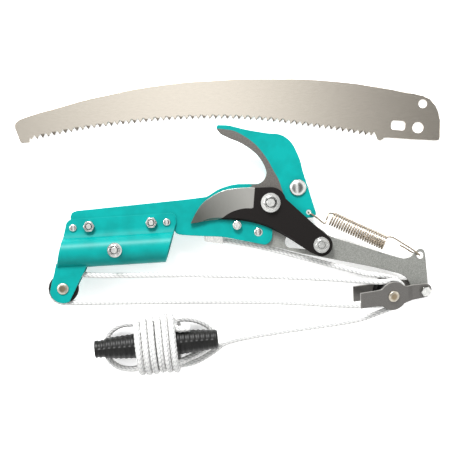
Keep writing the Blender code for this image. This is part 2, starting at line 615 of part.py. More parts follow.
def handle_and_winding(parent, pivot, plastic, rope_look):
    axis = HANDLE_RIGHT - HANDLE_LEFT
    length = axis.length
    profile = [(0, 0), (7.3, 0), (7.3, 9.5)]
    rib, z = 6.0, 10.5
    while z < length - 14:
        share = z / length
        radius = 12.0 - 3.6 * abs(2 * share - 1) ** 1.6
        profile += [(radius, z), (radius - 1.4, z + rib * 0.8)]
        z += rib
        rib = max(4.7, rib - 0.08)
    profile += [(9.0, length - 9.0), (8.6, length - 1.5), (0, length)]
    bm = turned(profile, segments=18)
    lie = Vector((0, 0, 1)).rotation_difference(axis).to_matrix()
    bmesh.ops.rotate(bm, cent=(0, 0, 0), matrix=lie, verts=bm.verts)
    bmesh.ops.translate(bm, vec=HANDLE_LEFT, verts=bm.verts)
    add("pull_handle", bm, plastic, parent, pivot)

    # the hank round the handle: an oval ring of rope, wider across than it is deep
    profile = [(0.86, -19.6), (0.96, -15.5), (1.0, -9.0), (1.0, 9.0), (0.96, 15.5), (0.86, 19.6)]
    bm, rings = bmesh.new(), []
    inner = 12.6
    for share, along in profile + [(0.0, 19.6), (0.0, -19.6)]:
        ring = []
        for k in range(28):
            a = 2 * math.pi * k / 28
            wide, deep = (28.6 * share, 16.9 * share) if share else (inner, inner)
            ring.append(bm.verts.new((-deep * math.sin(a), wide * math.cos(a), along)))
        rings.append(ring)
    for i in range(len(rings)):
        for k in range(28):
            n = (k + 1) % 28
            bm.faces.new((rings[i - 1][k], rings[i - 1][n], rings[i][n], rings[i][k]))
    bmesh.ops.rotate(bm, cent=(0, 0, 0), matrix=Matrix.Rotation(math.pi / 2, 3, "Y"), verts=bm.verts)
    bmesh.ops.translate(bm, vec=HANDLE_LEFT + axis * 0.502, verts=bm.verts)
    add("rope_winding", bm, rope_look, parent, pivot)

    left = [(-131.0, -99.0, 12.0), (-143.0, -102.4, 9.0), (-153.6, -109.4, 5.6), (-157.6, -121.4, 4.6),
            (-154.4, -133.6, 5.0), (-145.0, -140.6, 8.0), (-131.0, -143.0, 11.0)]
    right = [(-89.4, -99.4, 12.0), (-75.0, -101.4, 9.0), (-63.6, -107.4, 6.0), (-59.0, -114.0, 4.9),
             (-59.4, -120.0, 4.8), (-64.0, -126.4, 5.0), (-75.0, -132.8, 7.4), (-89.0, -137.0, 10.0)]
    tube("rope_loop_left", thin(spline(left, 6), 5.0), ROPE_RADIUS, rope_look, parent, pivot)
    tube("rope_loop_right", thin(spline(right, 6), 5.0), ROPE_RADIUS, rope_look, parent, pivot)


# ---------------------------------------------------------------- saw blade


def saw_blade(parent, look):
    back = spline([(-228.4, 83.0), (-228.0, 87.4), (-221.9, 91.0), (-199.3, 96.8), (-146.4, 107.6),
                   (-92.2, 113.9), (-32.2, 115.2), (34.9, 111.4), (88.1, 103.6), (127.8, 94.2), (141.5, 90.7),
                   (150.8, 86.9), (156.4, 80.3), (159.5, 72.0), (160.3, 63.0)], 3)
    tang = [(159.2, 50.5), (158.0, 48.4), (155.4, 47.8), (108.7, 53.5)]
    tang += arc((104.4, 54.4), 3.4, -20, -175, 6) + [(99.4, 59.0)]
    line = spline([(96.4, 55.2), (45.6, 66.4), (-15.0, 77.3), (-80.0, 81.2), (-152.0, 78.6),
                   (-212.0, 71.3)], 40)
    teeth, walked, last = [], TOOTH_PITCH, None
    for x, y in line:
        here = Vector((x, y))
        walked += (here - last).length if last else 0.0
        if last and walked >= TOOTH_PITCH:
            walked -= TOOTH_PITCH
            along = (here - last).normalized()
            inward = Vector((along.y, -along.x))
            root = here + inward * TOOTH_DEPTH
            teeth += [tuple(here)] + [tuple(root + along * TOOTH_PITCH * share) for share in (0.30, 0.42)]
        last = here
    heel = [(-216.3, 69.2), (-223.0, 69.0), (-224.4, 70.4)]
    slot = [Matrix.Rotation(SLOT_LEAN, 2) @ Vector(p) + Vector(SLOT_CENTRE)
            for p in rounded([(-6.4, -4.2, 2.6), (6.4, -4.2, 2.6), (6.4, 4.2, 2.6), (-6.4, 4.2, 2.6)])]
    holes = [circle(SAW_HOLE, 5.0), circle((145.2, 82.2), 3.9, 20), slot]
    add("saw_blade", slab([back + tang + teeth + heel] + holes, 0.0, SAW_THICK), look, parent,
        pivot=(*SAW_HOLE, 0.0))


def build():
    clear_scene()
    teal = material("teal_powder_coat", (0.0, 0.36, 0.32), 0.4)
    black = material("black_coating", (0.012, 0.011, 0.010), 0.45)
    zinc = material("zinc_plate", (0.62, 0.62, 0.60), 0.3, 1.0)
    steel = material("axle_steel", (0.45, 0.42, 0.36), 0.35, 1.0)
    spring_steel = material("spring_steel", (0.6, 0.58, 0.54), 0.25, 1.0)
    hammertone = material("hammertone_paint", (0.26, 0.26, 0.25), 0.45, 0.5)
    cheek_paint = material("cheek_paint", (0.10, 0.095, 0.09), 0.4, 0.5)
    plastic = material("black_plastic", (0.02, 0.02, 0.02), 0.5)
    white = material("braided_rope", (0.88, 0.88, 0.87), 0.8)
    saw_steel = material("saw_steel", (0.45, 0.42, 0.38), 0.4, 1.0)

    head = empty("head_frame", -ORIGIN)
    hook_plate(head, teal)
    socket_shell("socket_front_shell", 1, head, teal)
    socket_shell("socket_rear_shell", -1, head, teal)
    socket_fasteners(head, zinc, steel)
    guide = empty("guide_pulley_axis", (*GUIDE_PULLEY, PLATE_MID), parent=head)
    pulley("guide_pulley", guide, (0.0, 0.0, 0.0), plastic)
    pivots(head, zinc, steel)
    saw_mount(head, zinc)
    rope_anchor(head, zinc)

    blade = empty("blade_axis", (*MAIN_PIVOT, 0.0), parent=head)
    cutting_blade(blade, black, zinc)
    lever = empty("lever_axis", (*LEVER_PIVOT, 0.0), parent=head)
    lever_plate(lever, hammertone)
    centre, lean = block_place()
    block = empty("block_frame", centre, lean, head)
    pulley_block(block, cheek_paint, steel, zinc, plastic)

    spring_link = empty("spring_axis", (*FRAME_SPRING_HOLE, 0.0), parent=head)
    spring_tip = empty("spring_tip_frame", (*LEVER_SPRING_HOLE, 0.0), parent=head)
    return_spring(spring_link, spring_tip, spring_steel)

    lead = empty("rope_lead_axis", ROPE_LEAD[1], parent=head)
    pull = empty("pull_axis", centre, parent=head)
    parents = {"head": (head, (0, 0, 0)), "lead": (lead, ROPE_LEAD[1]), "block": (block, tuple(centre)),
               "span": (guide, (*GUIDE_PULLEY, PLATE_MID)), "pull": (pull, tuple(centre))}
    rope(parents, white)
    handle = empty("handle_slide", HANDLE_RIGHT, parent=head)
    handle_and_winding(handle, tuple(HANDLE_RIGHT), plastic, white)
    saw = empty("saw_frame", (*SAW_HOLE, 0.0), parent=head)
    saw_blade(saw, saw_steel)


build()
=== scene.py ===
# %% [markdown]
# # A rope-operated pruner head with its saw blade
# This file dresses a finished CAD frame of a pruner head: a hooked plate, a cutting blade that a long lever
# drives, a pulley block, a return spring, the rope with its pull handle, and a loose saw blade. Nothing here
# changes a size: every surface is drawn again, finer, exactly where the frame says that the part is. We work
# in millimetres counted from the main pivot, as a draughtsman would, and turn them into metres at the end.

# %% Load the frame
import math

import bmesh
import bpy
import numpy as np
from mathutils import Matrix, Vector
from mathutils.geometry import delaunay_2d_cdt


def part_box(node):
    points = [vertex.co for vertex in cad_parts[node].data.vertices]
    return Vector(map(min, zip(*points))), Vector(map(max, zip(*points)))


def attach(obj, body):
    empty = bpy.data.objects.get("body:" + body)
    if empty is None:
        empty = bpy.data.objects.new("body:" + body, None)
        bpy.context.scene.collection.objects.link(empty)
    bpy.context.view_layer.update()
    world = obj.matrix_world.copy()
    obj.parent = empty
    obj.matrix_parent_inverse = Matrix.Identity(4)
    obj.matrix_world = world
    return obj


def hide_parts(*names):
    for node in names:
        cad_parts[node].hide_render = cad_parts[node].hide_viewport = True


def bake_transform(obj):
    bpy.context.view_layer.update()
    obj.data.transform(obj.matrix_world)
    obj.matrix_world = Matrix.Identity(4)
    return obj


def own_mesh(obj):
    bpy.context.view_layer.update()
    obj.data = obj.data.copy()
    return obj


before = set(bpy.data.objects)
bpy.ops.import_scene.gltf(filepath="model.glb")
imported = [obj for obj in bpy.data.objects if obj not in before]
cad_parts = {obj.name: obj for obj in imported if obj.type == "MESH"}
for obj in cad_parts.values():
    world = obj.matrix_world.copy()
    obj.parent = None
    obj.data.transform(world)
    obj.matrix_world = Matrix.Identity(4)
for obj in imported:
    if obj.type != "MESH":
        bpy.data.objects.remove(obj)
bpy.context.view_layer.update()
pivot_low, pivot_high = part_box("main_pivot_bolt")
MM = 0.001
HEAD = np.array([(pivot_low[0] + pivot_high[0]) / 2, (pivot_low[1] + pivot_high[1]) / 2, 0.0])
print("main pivot stands at", np.round(HEAD, 4), "and the frame has", len(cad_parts), "nodes")


def in_row(points):
    """Millimetres from the main pivot to metres in the row: scaled, then moved by the pivot's place."""
    return np.asarray(points, float) * MM + HEAD


# %% [markdown]
# The camera looks straight down on the middle of the layout, turned a few degrees so that the socket lies a
# little off level. A long lens keeps the sides of nuts and pulleys almost hidden.

# %% Camera
CAMERA_TURN = math.radians(-3.56)
LENS_LENGTH, SENSOR_WIDTH = 96.9, 36.0
CAMERA_PLACE = (-40.4, -19.3, 1119.0)
camera_data = bpy.data.cameras.new("camera")
camera_data.sensor_width = SENSOR_WIDTH
camera_data.lens = LENS_LENGTH
camera = bpy.data.objects.new("camera", camera_data)
camera.location = in_row(CAMERA_PLACE)
camera.rotation_euler = (0.0, 0.0, CAMERA_TURN)
bpy.context.scene.collection.objects.link(camera)
bpy.context.scene.camera = camera
print("camera stands at", np.round(camera.location, 4))

# %% [markdown]
# Every curve below is a Catmull-Rom spline: it passes through the points that we give, and each piece of it
# is a cubic whose slope at a point runs parallel to the line between that point's neighbours. Arcs and
# rounded corners do the rest of the outlines.

# %% Curves


def spline(points, steps=8):
    """Points on a cubic through the given ones; with t from 0 to 1 between b and c, the curve is
    b + (c - a) t/2 + (2a - 5b + 4c - d) t^2/2 + (3b - a - 3c + d) t^3/2."""
    p = np.asarray(points, float)
    p = np.vstack([2 * p[0] - p[1], p, 2 * p[-1] - p[-2]])
    a, b, c, d = (p[i:len(p) - 3 + i, None, :] for i in range(4))
    t = (np.arange(steps) / steps)[None, :, None]
    curve = b + (c - a) * t / 2 + (2 * a - 5 * b + 4 * c - d) * t ** 2 / 2
    curve = curve + (3 * b - a - 3 * c + d) * t ** 3 / 2
    return np.vstack([curve.reshape(-1, p.shape[1]), p[-2]])


def arc(centre, radius, start, end, steps=24):
    """Points on a circle's arc: centre + radius (cos a, sin a), with a in degrees."""
    a = np.radians(np.linspace(start, end, steps + 1))
    return np.asarray(centre, float) + radius * np.column_stack([np.cos(a), np.sin(a)])


def circle(centre, radius, steps=48):
    return arc(centre, radius, 0, 360, steps)[:-1]


def rounded(corners, steps=5):
    """A closed outline whose corners (x, y, radius) are cut by arcs that touch both sides."""
    c = np.asarray(corners, float)
    here, radius = c[:, :2], c[:, 2]
    back, ahead = np.roll(here, 1, 0) - here, np.roll(here, -1, 0) - here
    back /= np.linalg.norm(back, axis=1)[:, None]
    ahead /= np.linalg.norm(ahead, axis=1)[:, None]
    half = np.arccos(np.clip((back * ahead).sum(1), -1, 1)) / 2
    radius = np.where(half > math.radians(88), 0, radius)
    middle = back + ahead
    middle /= np.maximum(np.linalg.norm(middle, axis=1), 1e-9)[:, None]
    centre = here + middle * (radius / np.sin(half))[:, None]
    cut_back = (radius / np.tan(half))[:, None]
    start, end = here + back * cut_back, here + ahead * cut_back
    first = np.arctan2(*(start - centre).T[::-1])
    swing = (np.arctan2(*(end - centre).T[::-1]) - first + np.pi) % (2 * np.pi) - np.pi
    angles = first[:, None] + swing[:, None] * np.linspace(0, 1, steps + 1)
    spots = centre[:, None] + radius[:, None, None] * np.stack([np.cos(angles), np.sin(angles)], -1)
    keep = np.broadcast_to(((radius > 0)[:, None]) | (np.arange(steps + 1) == 0), angles.shape)
    return spots[keep]


def resampled(points, step):
    """The same open line, with a point at least every so many millimetres and the corners kept."""
    p = np.asarray(points, float)
    counts = np.maximum(1, np.ceil(np.linalg.norm(np.diff(p[:, :2], axis=0), axis=1) / step)).astype(int)
    parts = [a + (b - a) * (np.arange(n) / n)[:, None] for a, b, n in zip(p[:-1], p[1:], counts)]
    return np.vstack(parts + [p[-1:]])


print("an arc of 24 steps has", len(arc((0, 0), 1, 0, 90)), "points")

# %% [markdown]
# A grid of points becomes a mesh when each square of four neighbours gets a face. Where the grid runs round
# a part, its last column joins its first. Doubled points are merged, so poles close and normals can be
# turned outwards as one skin.

# %% From arrays to a mesh


def squares(rows, columns, round_columns=True, round_rows=False, first=0):
    """Faces of a grid: (i, j), (i, j+1), (i+1, j+1), (i+1, j), counted from the first point."""
    used_rows, used_columns = rows - (not round_rows), columns - (not round_columns)
    i, j = np.meshgrid(np.arange(used_rows), np.arange(used_columns), indexing="ij")
    n, m = (i + 1) % rows, (j + 1) % columns
    corners = np.stack([i * columns + j, i * columns + m, n * columns + m, n * columns + j], -1)
    return corners.reshape(-1, 4) + first


def piece_of(name, points, faces, look, smooth=35.0):
    """A piece with its points in millimetres. Points closer than 2 micrometres are merged, and normals point
    out."""
    mesh = bpy.data.meshes.new(name)
    mesh.from_pydata(in_row(points).tolist(), [], faces)
    work = bmesh.new()
    work.from_mesh(mesh)
    bmesh.ops.remove_doubles(work, verts=work.verts, dist=2e-6)
    bmesh.ops.dissolve_degenerate(work, edges=work.edges, dist=1e-7)
    bmesh.ops.recalc_face_normals(work, faces=work.faces)
    work.to_mesh(mesh)
    work.free()
    mesh.shade_smooth()
    mesh.set_sharp_from_angle(angle=math.radians(smooth))
    mesh.materials.append(look)
    piece = bpy.data.objects.new(name, mesh)
    bpy.context.scene.collection.objects.link(piece)
    return piece


def places(piece):
    """The piece's points, in millimetres from the main pivot."""
    found = np.empty(len(piece.data.vertices) * 3)
    piece.data.vertices.foreach_get("co", found)
    return (found.reshape(-1, 3) - HEAD) / MM


def mark(piece, name, values):
    """Writes one number per point, for a material to read as an attribute."""
    layer = piece.data.attributes.new(name, "FLOAT", "POINT")
    layer.data.foreach_set("value", np.asarray(values, np.float32))


def belongs(piece, body, slot, *nodes):
    """The piece moves with a body and stands for its CAD nodes, whose frame parts it hides; slot is not used. A
    piece that bends between two bodies has no one body to ride on."""
    if body:
        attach(piece, body)
    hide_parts(*nodes)
    size = piece.data
    print(f"{piece.name}: {len(size.vertices)} points, {len(size.polygons)} faces,",
          f"rides on {body or 'two bodies'}")
    return piece


# %% [markdown]
# Colours are written as the hex values that a paint chart would give. Blender mixes light, not paint chart
# values, so one function undoes the screen curve. Another adds a shader node with its settings and its
# links, and everything else about a material is said in that material's own cell.

# %% Colours and nodes


def linear(code):
    """sRGB hex to linear: c/12.92 below 0.04045, else ((c + 0.055)/1.055)^2.4."""
    c = np.array([int(code[i:i + 2], 16) for i in (1, 3, 5)]) / 255
    return (*np.where(c <= 0.04045, c / 12.92, ((c + 0.055) / 1.055) ** 2.4), 1.0)


def add_node(tree, kind, values=None, links=None, **settings):
    """A node, with its own settings, the values of its sockets and the sockets that feed them."""
    made = tree.nodes.new(kind)
    for key, value in settings.items():
        setattr(made, key, value)
    for key, value in (values or {}).items():
        made.inputs[key].default_value = value
    for key, socket in (links or {}).items():
        tree.links.new(socket, made.inputs[key])
    return made


def finish(name, **values):
    """A material with one Principled shader and the values of its sockets; returns the material, its tree,
    the shader and the Object coordinates."""
    made = bpy.data.materials.new(name)
    made.use_nodes = True
    tree = made.node_tree
    shader = tree.nodes["Principled BSDF"]
    for key, value in values.items():
        shader.inputs[key.replace("_", " ")].default_value = value
    return made, tree, shader, add_node(tree, "ShaderNodeTexCoord").outputs["Object"]


def per_mm(size):
    """A texture scale on Object coordinates for a pattern of that size in millimetres."""
    return 1 / (size * MM)


print("paint chart grey #808080 is", round(linear("#808080")[0], 3), "in light")

# %% [markdown]
# ## The rope
# The rope is white polypropylene, about 5 mm thick, in a solid braid: four columns of stitches run along
# it, and each stitch is a V, like the links of a plait. Polypropylene is a little waxy, so it has a soft
# sheen and no colour of its own. The creases between stitches are painted grey where the braid is low: that
# is painted shade. We build the stitches as real bumps on a tube, and leave the single filaments and that
# painted shade to the shader.

# %% Braided polypropylene
ROPE_RADIUS = 2.4
SCATTER = 0.6
rope_look, tree, shader, _ = finish("braided_polypropylene_rope", Roughness=0.8, IOR=1.49,
                                    Specular_IOR_Level=0.3)
shader.inputs["Subsurface Weight"].default_value = 0.12
shader.inputs["Subsurface Radius"].default_value = (SCATTER * MM, SCATTER * MM, SCATTER * MM)
shader.inputs["Subsurface Scale"].default_value = 1.0
# painted shade: the ramp below colours the creases grey where the braid's height is low
crown = add_node(tree, "ShaderNodeAttribute", attribute_name="crown")
shade = add_node(tree, "ShaderNodeValToRGB", links={"Fac": crown.outputs["Fac"]})
shade.color_ramp.elements[0].position = 0.15
shade.color_ramp.elements[0].color = linear("#808285")
shade.color_ramp.elements[1].position = 0.75
shade.color_ramp.elements[1].color = linear("#D6D6D4")
rope_map = add_node(tree, "ShaderNodeUVMap", uv_map="lay")
yarn = add_node(tree, "ShaderNodeTexWave", {"Scale": 2.2, "Distortion": 1.5, "Detail": 2.0},
                {"Vector": rope_map.outputs["UV"]}, wave_type="BANDS", bands_direction="Y")
fuzz = add_node(tree, "ShaderNodeTexNoise", {"Scale": 1.4, "Detail": 4.0},
                {"Vector": rope_map.outputs["UV"]})
tone = add_node(tree, "ShaderNodeMix", {"Factor": 0.12},
                {"A": shade.outputs["Color"], "B": fuzz.outputs["Color"]},
                data_type="RGBA", blend_type="SOFT_LIGHT")
tree.links.new(tone.outputs["Result"], shader.inputs["Base Color"])
filaments = add_node(tree, "ShaderNodeBump", {"Strength": 0.35, "Distance": 0.12 * MM},
                     {"Height": yarn.outputs["Fac"]})
tree.links.new(filaments.outputs["Normal"], shader.inputs["Normal"])

# %% [markdown]
# The route is the one that the frame gives: from a crimped ferrule behind the plate to the rear wheel of the
# block, back to the guide wheel on the socket, forward again round the block's front wheel, and home to the
# handle. That is a block and tackle, so each part of the route belongs to another moving body.

# %% The rope's route
ON_PULLEY = 12.5
PULLEY_RIM = 13.2
GUIDE_PULLEY = np.array([-190.4, -65.4, 19.0])
BLOCK_PULLEY_Z = 4.1
BLOCK_LEAN = np.array(Matrix.Rotation(math.radians(22), 3, Vector((0.756, 0.654, 0.0)))
                      @ Matrix.Rotation(math.radians(2), 3, "Z"))
BLOCK_BOLT = np.array([131.8, -85.4, 15.5])
BLOCK_LENGTH = 31.0
BLOCK = BLOCK_BOLT - BLOCK_LEAN @ (BLOCK_LENGTH, 0.0, 1.5)


def wrap(centre, lean, height, start, end):
    """Points clockwise round a wheel, with the two points on the straight runs just before and after it."""
    flat = arc((0, 0), ON_PULLEY, start, end, 6)
    a, b = math.radians(start), math.radians(end)
    before = flat[0] + PULLEY_RIM * np.array([-math.sin(a), math.cos(a)])
    after = flat[-1] + PULLEY_RIM * np.array([math.sin(b), -math.cos(b)])
    flat = np.vstack([before, flat, after])
    return centre + np.column_stack([flat, np.full(len(flat), height)]) @ lean.T


rear_turn = wrap(BLOCK, BLOCK_LEAN, -BLOCK_PULLEY_Z, 70, -95)
guide_turn = wrap(GUIDE_PULLEY, np.eye(3), 0.0, 266, 87)
front_turn = wrap(BLOCK, BLOCK_LEAN, BLOCK_PULLEY_Z, 86, -76)
lead_run = [(-61, -27.2, 11.2), (-43.5, -31.2, 11.2), (-31.4, -34, 11.2), (-8.5, -39.8, 11.2),
            (19.7, -48.9, 11.4), (55, -60.5, 12.6), (80, -68.6, 14.2)]
lower_run = [(60, -96.4, 15.5), (0, -89.6, 15.6), (-70, -84.6, 16.5), (-130, -81.4, 18)]
upper_run = [(-150, -56.2, 19), (-90, -59.4, 18.8), (-20, -64.9, 20.2), (45, -71, 25)]
pull_run = [(72, -110, 17), (40, -114, 10), (5, -117.2, 5.4), (-25, -120.4, 3.2), (-48, -124.6, 2.9),
            (-60, -132, 3), (-75, -139.4, 5), (-88.6, -141.5, 9)]
stations = [lead_run, rear_turn, lower_run, guide_turn, upper_run, front_turn]
route = np.vstack([np.asarray(part, float) for part in stations] + [np.asarray(pull_run, float)])
fine_route = spline(route, 8)
steps_along = np.linalg.norm(np.diff(fine_route, axis=0), axis=1)
print("from the anchor to the handle the rope runs", round(steps_along.sum() * MM, 2), "m")

# %% [markdown]
# A rope is a profile carried along a path. At every station we need two directions across the rope. They
# come from carrying the first pair along without letting it twist: each tangent's turn is applied to the
# pair of the station before. The braid then lifts the skin: along each column the stitches follow one
# another, each with a round back and two arms that lean forward from the column's middle.

# %% A braided tube


def even(points, step):
    """The same line with stations a fixed distance apart, found along its running length."""
    p = np.asarray(points, float)
    run = np.concatenate([[0], np.cumsum(np.linalg.norm(np.diff(p, axis=0), axis=1))])
    at = np.linspace(0, run[-1], max(2, int(round(run[-1] / step)) + 1))
    return np.column_stack([np.interp(at, run, p[:, k]) for k in range(3)]), at


def cross_directions(path):
    """Two unit vectors across the path at each station, carried along with no twist."""
    tangent = np.gradient(path, axis=0)
    tangent /= np.linalg.norm(tangent, axis=1)[:, None]
    side = np.cross(tangent[0], (0.0, 0.0, 1.0) if abs(tangent[0, 2]) < 0.9 else (1.0, 0.0, 0.0))
    sides = [side / np.linalg.norm(side)]
    for now in tangent[1:]:
        side = sides[-1] - now * (sides[-1] @ now)
        sides.append(side / np.linalg.norm(side))
    sides = np.array(sides)
    return sides, np.cross(tangent, sides)


def tube_grid(path, radius, sides):
    """path + radius (cos a side + sin a other), where radius may change from point to point of the grid."""
    side, other = cross_directions(path)
    a = 2 * np.pi * np.arange(sides) / sides
    ring = np.cos(a)[None, :, None] * side[:, None] + np.sin(a)[None, :, None] * other[:, None]
    return path[:, None] + ring * np.broadcast_to(np.asarray(radius, float), (len(path), sides))[..., None]


def braid(along, sides, stitch=4.0, columns=4):
    """How high the skin stands, 0 to 1: round backs sqrt(1 - (2f - 1)^2), where f is the fraction of
    s / stitch + |u| / 2 and u runs from -1 to 1 across a column; the seam between two columns is low."""
    across = (columns * np.arange(sides) / sides % 1)[None, :] * 2 - 1
    stagger = 0.5 * (np.floor(columns * np.arange(sides) / sides) % 2)[None, :]
    f = (np.asarray(along)[:, None] / stitch + np.abs(across) / 2 + stagger) % 1
    back = np.sqrt(np.clip(1 - (2 * f - 1) ** 2, 0, 1))
    seam = np.clip((1 - np.abs(across)) * 3.0 + 0.45, 0, 1)
    return back * seam


def capped(grid):
    """The grid's points and faces with a middle point closing each end."""
    rows, columns = grid.shape[:2]
    points = np.vstack([grid.reshape(-1, 3), grid[0].mean(0), grid[-1].mean(0)])
    j = np.arange(columns)
    n = (j + 1) % columns
    ends = [np.column_stack([n, j, np.full(columns, rows * columns)]),
            np.column_stack([j, n, np.full(columns, 0)]) + (rows - 1) * columns]
    ends[1][:, 2] = rows * columns + 1
    return points, squares(rows, columns).tolist() + ends[0].tolist() + ends[1].tolist()


def braided(name, line, started=0.0, step=0.5, sides=24, stout=((0, 1), (1, 1))):
    """A braided rope along a line: a tube whose radius runs from 2.1 to 2.6 mm with the braid's height. A
    braid that isn't under load is stouter: stout gives shares of the length and how many times at each."""
    path, along = even(line, step)
    height = braid(along + started, sides)
    radius = ROPE_RADIUS * np.interp(along / along[-1], *stout)[:, None] * (0.87 + 0.2 * height)
    points, faces = capped(tube_grid(path, radius, sides))
    piece = piece_of(name, points, faces, rope_look, 80)
    mark(piece, "crown", np.concatenate([height.ravel(), [0.3, 0.3]]))
    corner = np.empty(len(piece.data.loops), int)
    piece.data.loops.foreach_get("vertex_index", corner)
    row = np.minimum(corner // sides, len(path) - 1)
    column = (corner % sides) / sides * 2 * np.pi * ROPE_RADIUS
    lay = piece.data.uv_layers.new(name="lay")
    lay.data.foreach_set("uv", np.column_stack([along[row] + started, column]).ravel())
    return piece, path, along[-1]


def part_of_route(first, last, trim=0.15):
    """The fine route between two stations, with a hair's gap to the next section."""
    line = fine_route[first * 8:last * 8 + 1].copy()
    line[0] += (line[1] - line[0]) / np.linalg.norm(line[1] - line[0]) * trim
    line[-1] += (line[-2] - line[-1]) / np.linalg.norm(line[-2] - line[-1]) * trim
    return line


# %% [markdown]
# What hangs free is the last part: from the block's front wheel down to the ground, then round the handle.
# It is put away as a hank: once lengthwise round the handle, which leaves the two open loops, then six
# turns across. A turn across is an ellipse that moves on by one rope's thickness, and no two are pulled
# equally tight. The end is cut with a hot knife and stays bare.

# %% The free end: pull rope and hank
HANDLE_LEFT, HANDLE_RIGHT = np.array([-166.0, -122.0, 17.2]), np.array([-54.8, -119.4, 17.2])
handle_slope = (HANDLE_RIGHT - HANDLE_LEFT)[1] / (HANDLE_RIGHT - HANDLE_LEFT)[0]
lengthwise = [(-100, -140, 13), (-114, -139.6, 13.4), (-125, -140.4, 12), (-133, -142.4, 10.5),
              (-145, -140.6, 8), (-154.4, -133.6, 5), (-157.6, -121.4, 4.6), (-153.6, -109.4, 5.6),
              (-143, -102.4, 9), (-131, -101.4, 11), (-118, -102.8, 11.4), (-105, -102.6, 11.8),
              (-94, -101, 12), (-86, -99.6, 11.4), (-75, -101.4, 9), (-63.6, -107.4, 6), (-59, -114, 4.9),
              (-59.4, -120, 4.8), (-64, -126.4, 5), (-75, -132.6, 8.4), (-86, -136.8, 13.5),
              (-96, -139.2, 18.2), (-106, -139.4, 19.4), (-113, -138, 18.6), (-119, -136, 15.6),
              (-123.6, -133, 10.6), (-126.4, -127.6, 5.4)]
TURNS = 6
theta = np.arange(-math.pi / 2, 2 * math.pi * TURNS - 0.85, math.pi / 14)
far_reach = (20.5, 22.5, 25.6, 23.2, 25.8, 26.0, 24.0, 21.0)
near_reach = (24.2, 24.6, 24.0, 23.4, 23.8, 24.2, 22.6)
reach = np.interp(theta, np.arange(2 * TURNS + 1) * math.pi,
                  [far_reach[k // 2] if k % 2 == 0 else near_reach[k // 2] for k in range(2 * TURNS + 1)])
across_x = -129.0 + 6.25 * (theta + math.pi / 2) / (2 * math.pi) + 0.15 * np.sin(theta * 0.37)
across_y = HANDLE_LEFT[1] + (across_x - HANDLE_LEFT[0]) * handle_slope + reach * np.cos(theta)
across_z = HANDLE_LEFT[2] + (14.6 + 0.5 * np.sin(theta * 0.83)) * np.sin(theta)
across = np.column_stack([across_x, across_y, np.maximum(across_z, ROPE_RADIUS + 0.2)])
cut_end = [(-93.5, -103, 14), (-93, -106, 21), (-89.5, -107.8, 24.5), (-84, -107.6, 25.2),
           (-79.3, -107.4, 24.6)]
hank_route = np.vstack([route[38:], lengthwise, across, cut_end])
hank_line = spline(hank_route, 8)[2 * 8:]
pull_rope, hank_path, hank_length = braided("pull_rope_and_hank", hank_line, step=0.5, sides=24,
                                            stout=((0, 0.12, 0.3, 1), (1, 1, 1.18, 1.18)))
belongs(pull_rope, None, "braided_rope", "rope_pull_run", "rope_winding", "rope_loop_left",
        "rope_loop_right")
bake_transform(pull_rope)
print("free rope:", round(hank_length * MM, 2), "m")

# %% [markdown]
# The held part is drawn in six lengths, one for each body that carries it. The straight lengths shorten when
# the lever closes and the block comes towards the guide wheel; each of them gets a copy of its own mesh.

# %% The held part
sections = (("rope_lead", 0, 8, "rope_lead", "rope_lead_run"),
            ("rope_round_rear_wheel", 8, 14, "block", "rope_rear_turn"),
            ("rope_lower", 14, 21, "rope_span", "rope_lower_run"),
            ("rope_round_guide", 21, 27, "head", "rope_guide_turn"),
            ("rope_upper", 27, 34, "rope_span", "rope_upper_run"),
            ("rope_round_front_wheel", 34, 40, "block", "rope_front_turn"))
started = 0.0
held = {}
for name, first, last, body, node in sections:
    held[name], _, run = braided(name, part_of_route(first, last), started)
    belongs(held[name], body, "braided_rope", node)
    started += run
for name, joint, start, end, keep in (("rope_lead", "rope_lead_swing", route[1], route[8], 0.852),
                                      ("rope_lower", "rope_span_swing", GUIDE_PULLEY, BLOCK, 0.427),
                                      ("rope_upper", "rope_span_swing", GUIDE_PULLEY, BLOCK, 0.427)):
    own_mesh(held[name])

# %% [markdown]
# ## Plates
# The hook, the cutting blade, the lever, the cheeks and the saw are all stamped from sheet. A stamped plate
# is two flat faces and a rim, and the rim is never a sharp corner: paint pools round it or a tumbler wears
# it off. So we carry one small profile round every outline, and fill the two faces with a mesh that is even
# enough to hold facts such as how far a point is from the rim.

# %% Distances and sides in the plane


def segments(loops):
    """All sides of some closed loops, as starts and ends."""
    return np.vstack(loops), np.vstack([np.roll(loop, -1, 0) for loop in loops])


def distance(points, loops, closed=True):
    """Distance from each point to the nearest side: |p - a - t (b - a)|, with t held between 0 and 1."""
    a, b = segments(loops) if closed else (loops[0][:-1], loops[0][1:])
    out = []
    for some in np.array_split(np.asarray(points, float), max(1, len(points) // 1500)):
        away = some[:, None] - a
        t = np.clip((away * (b - a)).sum(2) / np.maximum(((b - a) ** 2).sum(1), 1e-12), 0, 1)
        out.append(np.linalg.norm(away - t[..., None] * (b - a), axis=2).min(1))
    return np.concatenate(out)


def inside(points, loops):
    """True where a level line from the point crosses the sides an odd number of times."""
    a, b = segments(loops)
    x, y = np.asarray(points, float).T[:, :, None]
    spans = (a[:, 1] > y) != (b[:, 1] > y)
    rise = np.where(a[:, 1] == b[:, 1], 1e-12, b[:, 1] - a[:, 1])
    return (spans & (x < a[:, 0] + (y - a[:, 1]) * (b[:, 0] - a[:, 0]) / rise)).sum(1) % 2 == 1


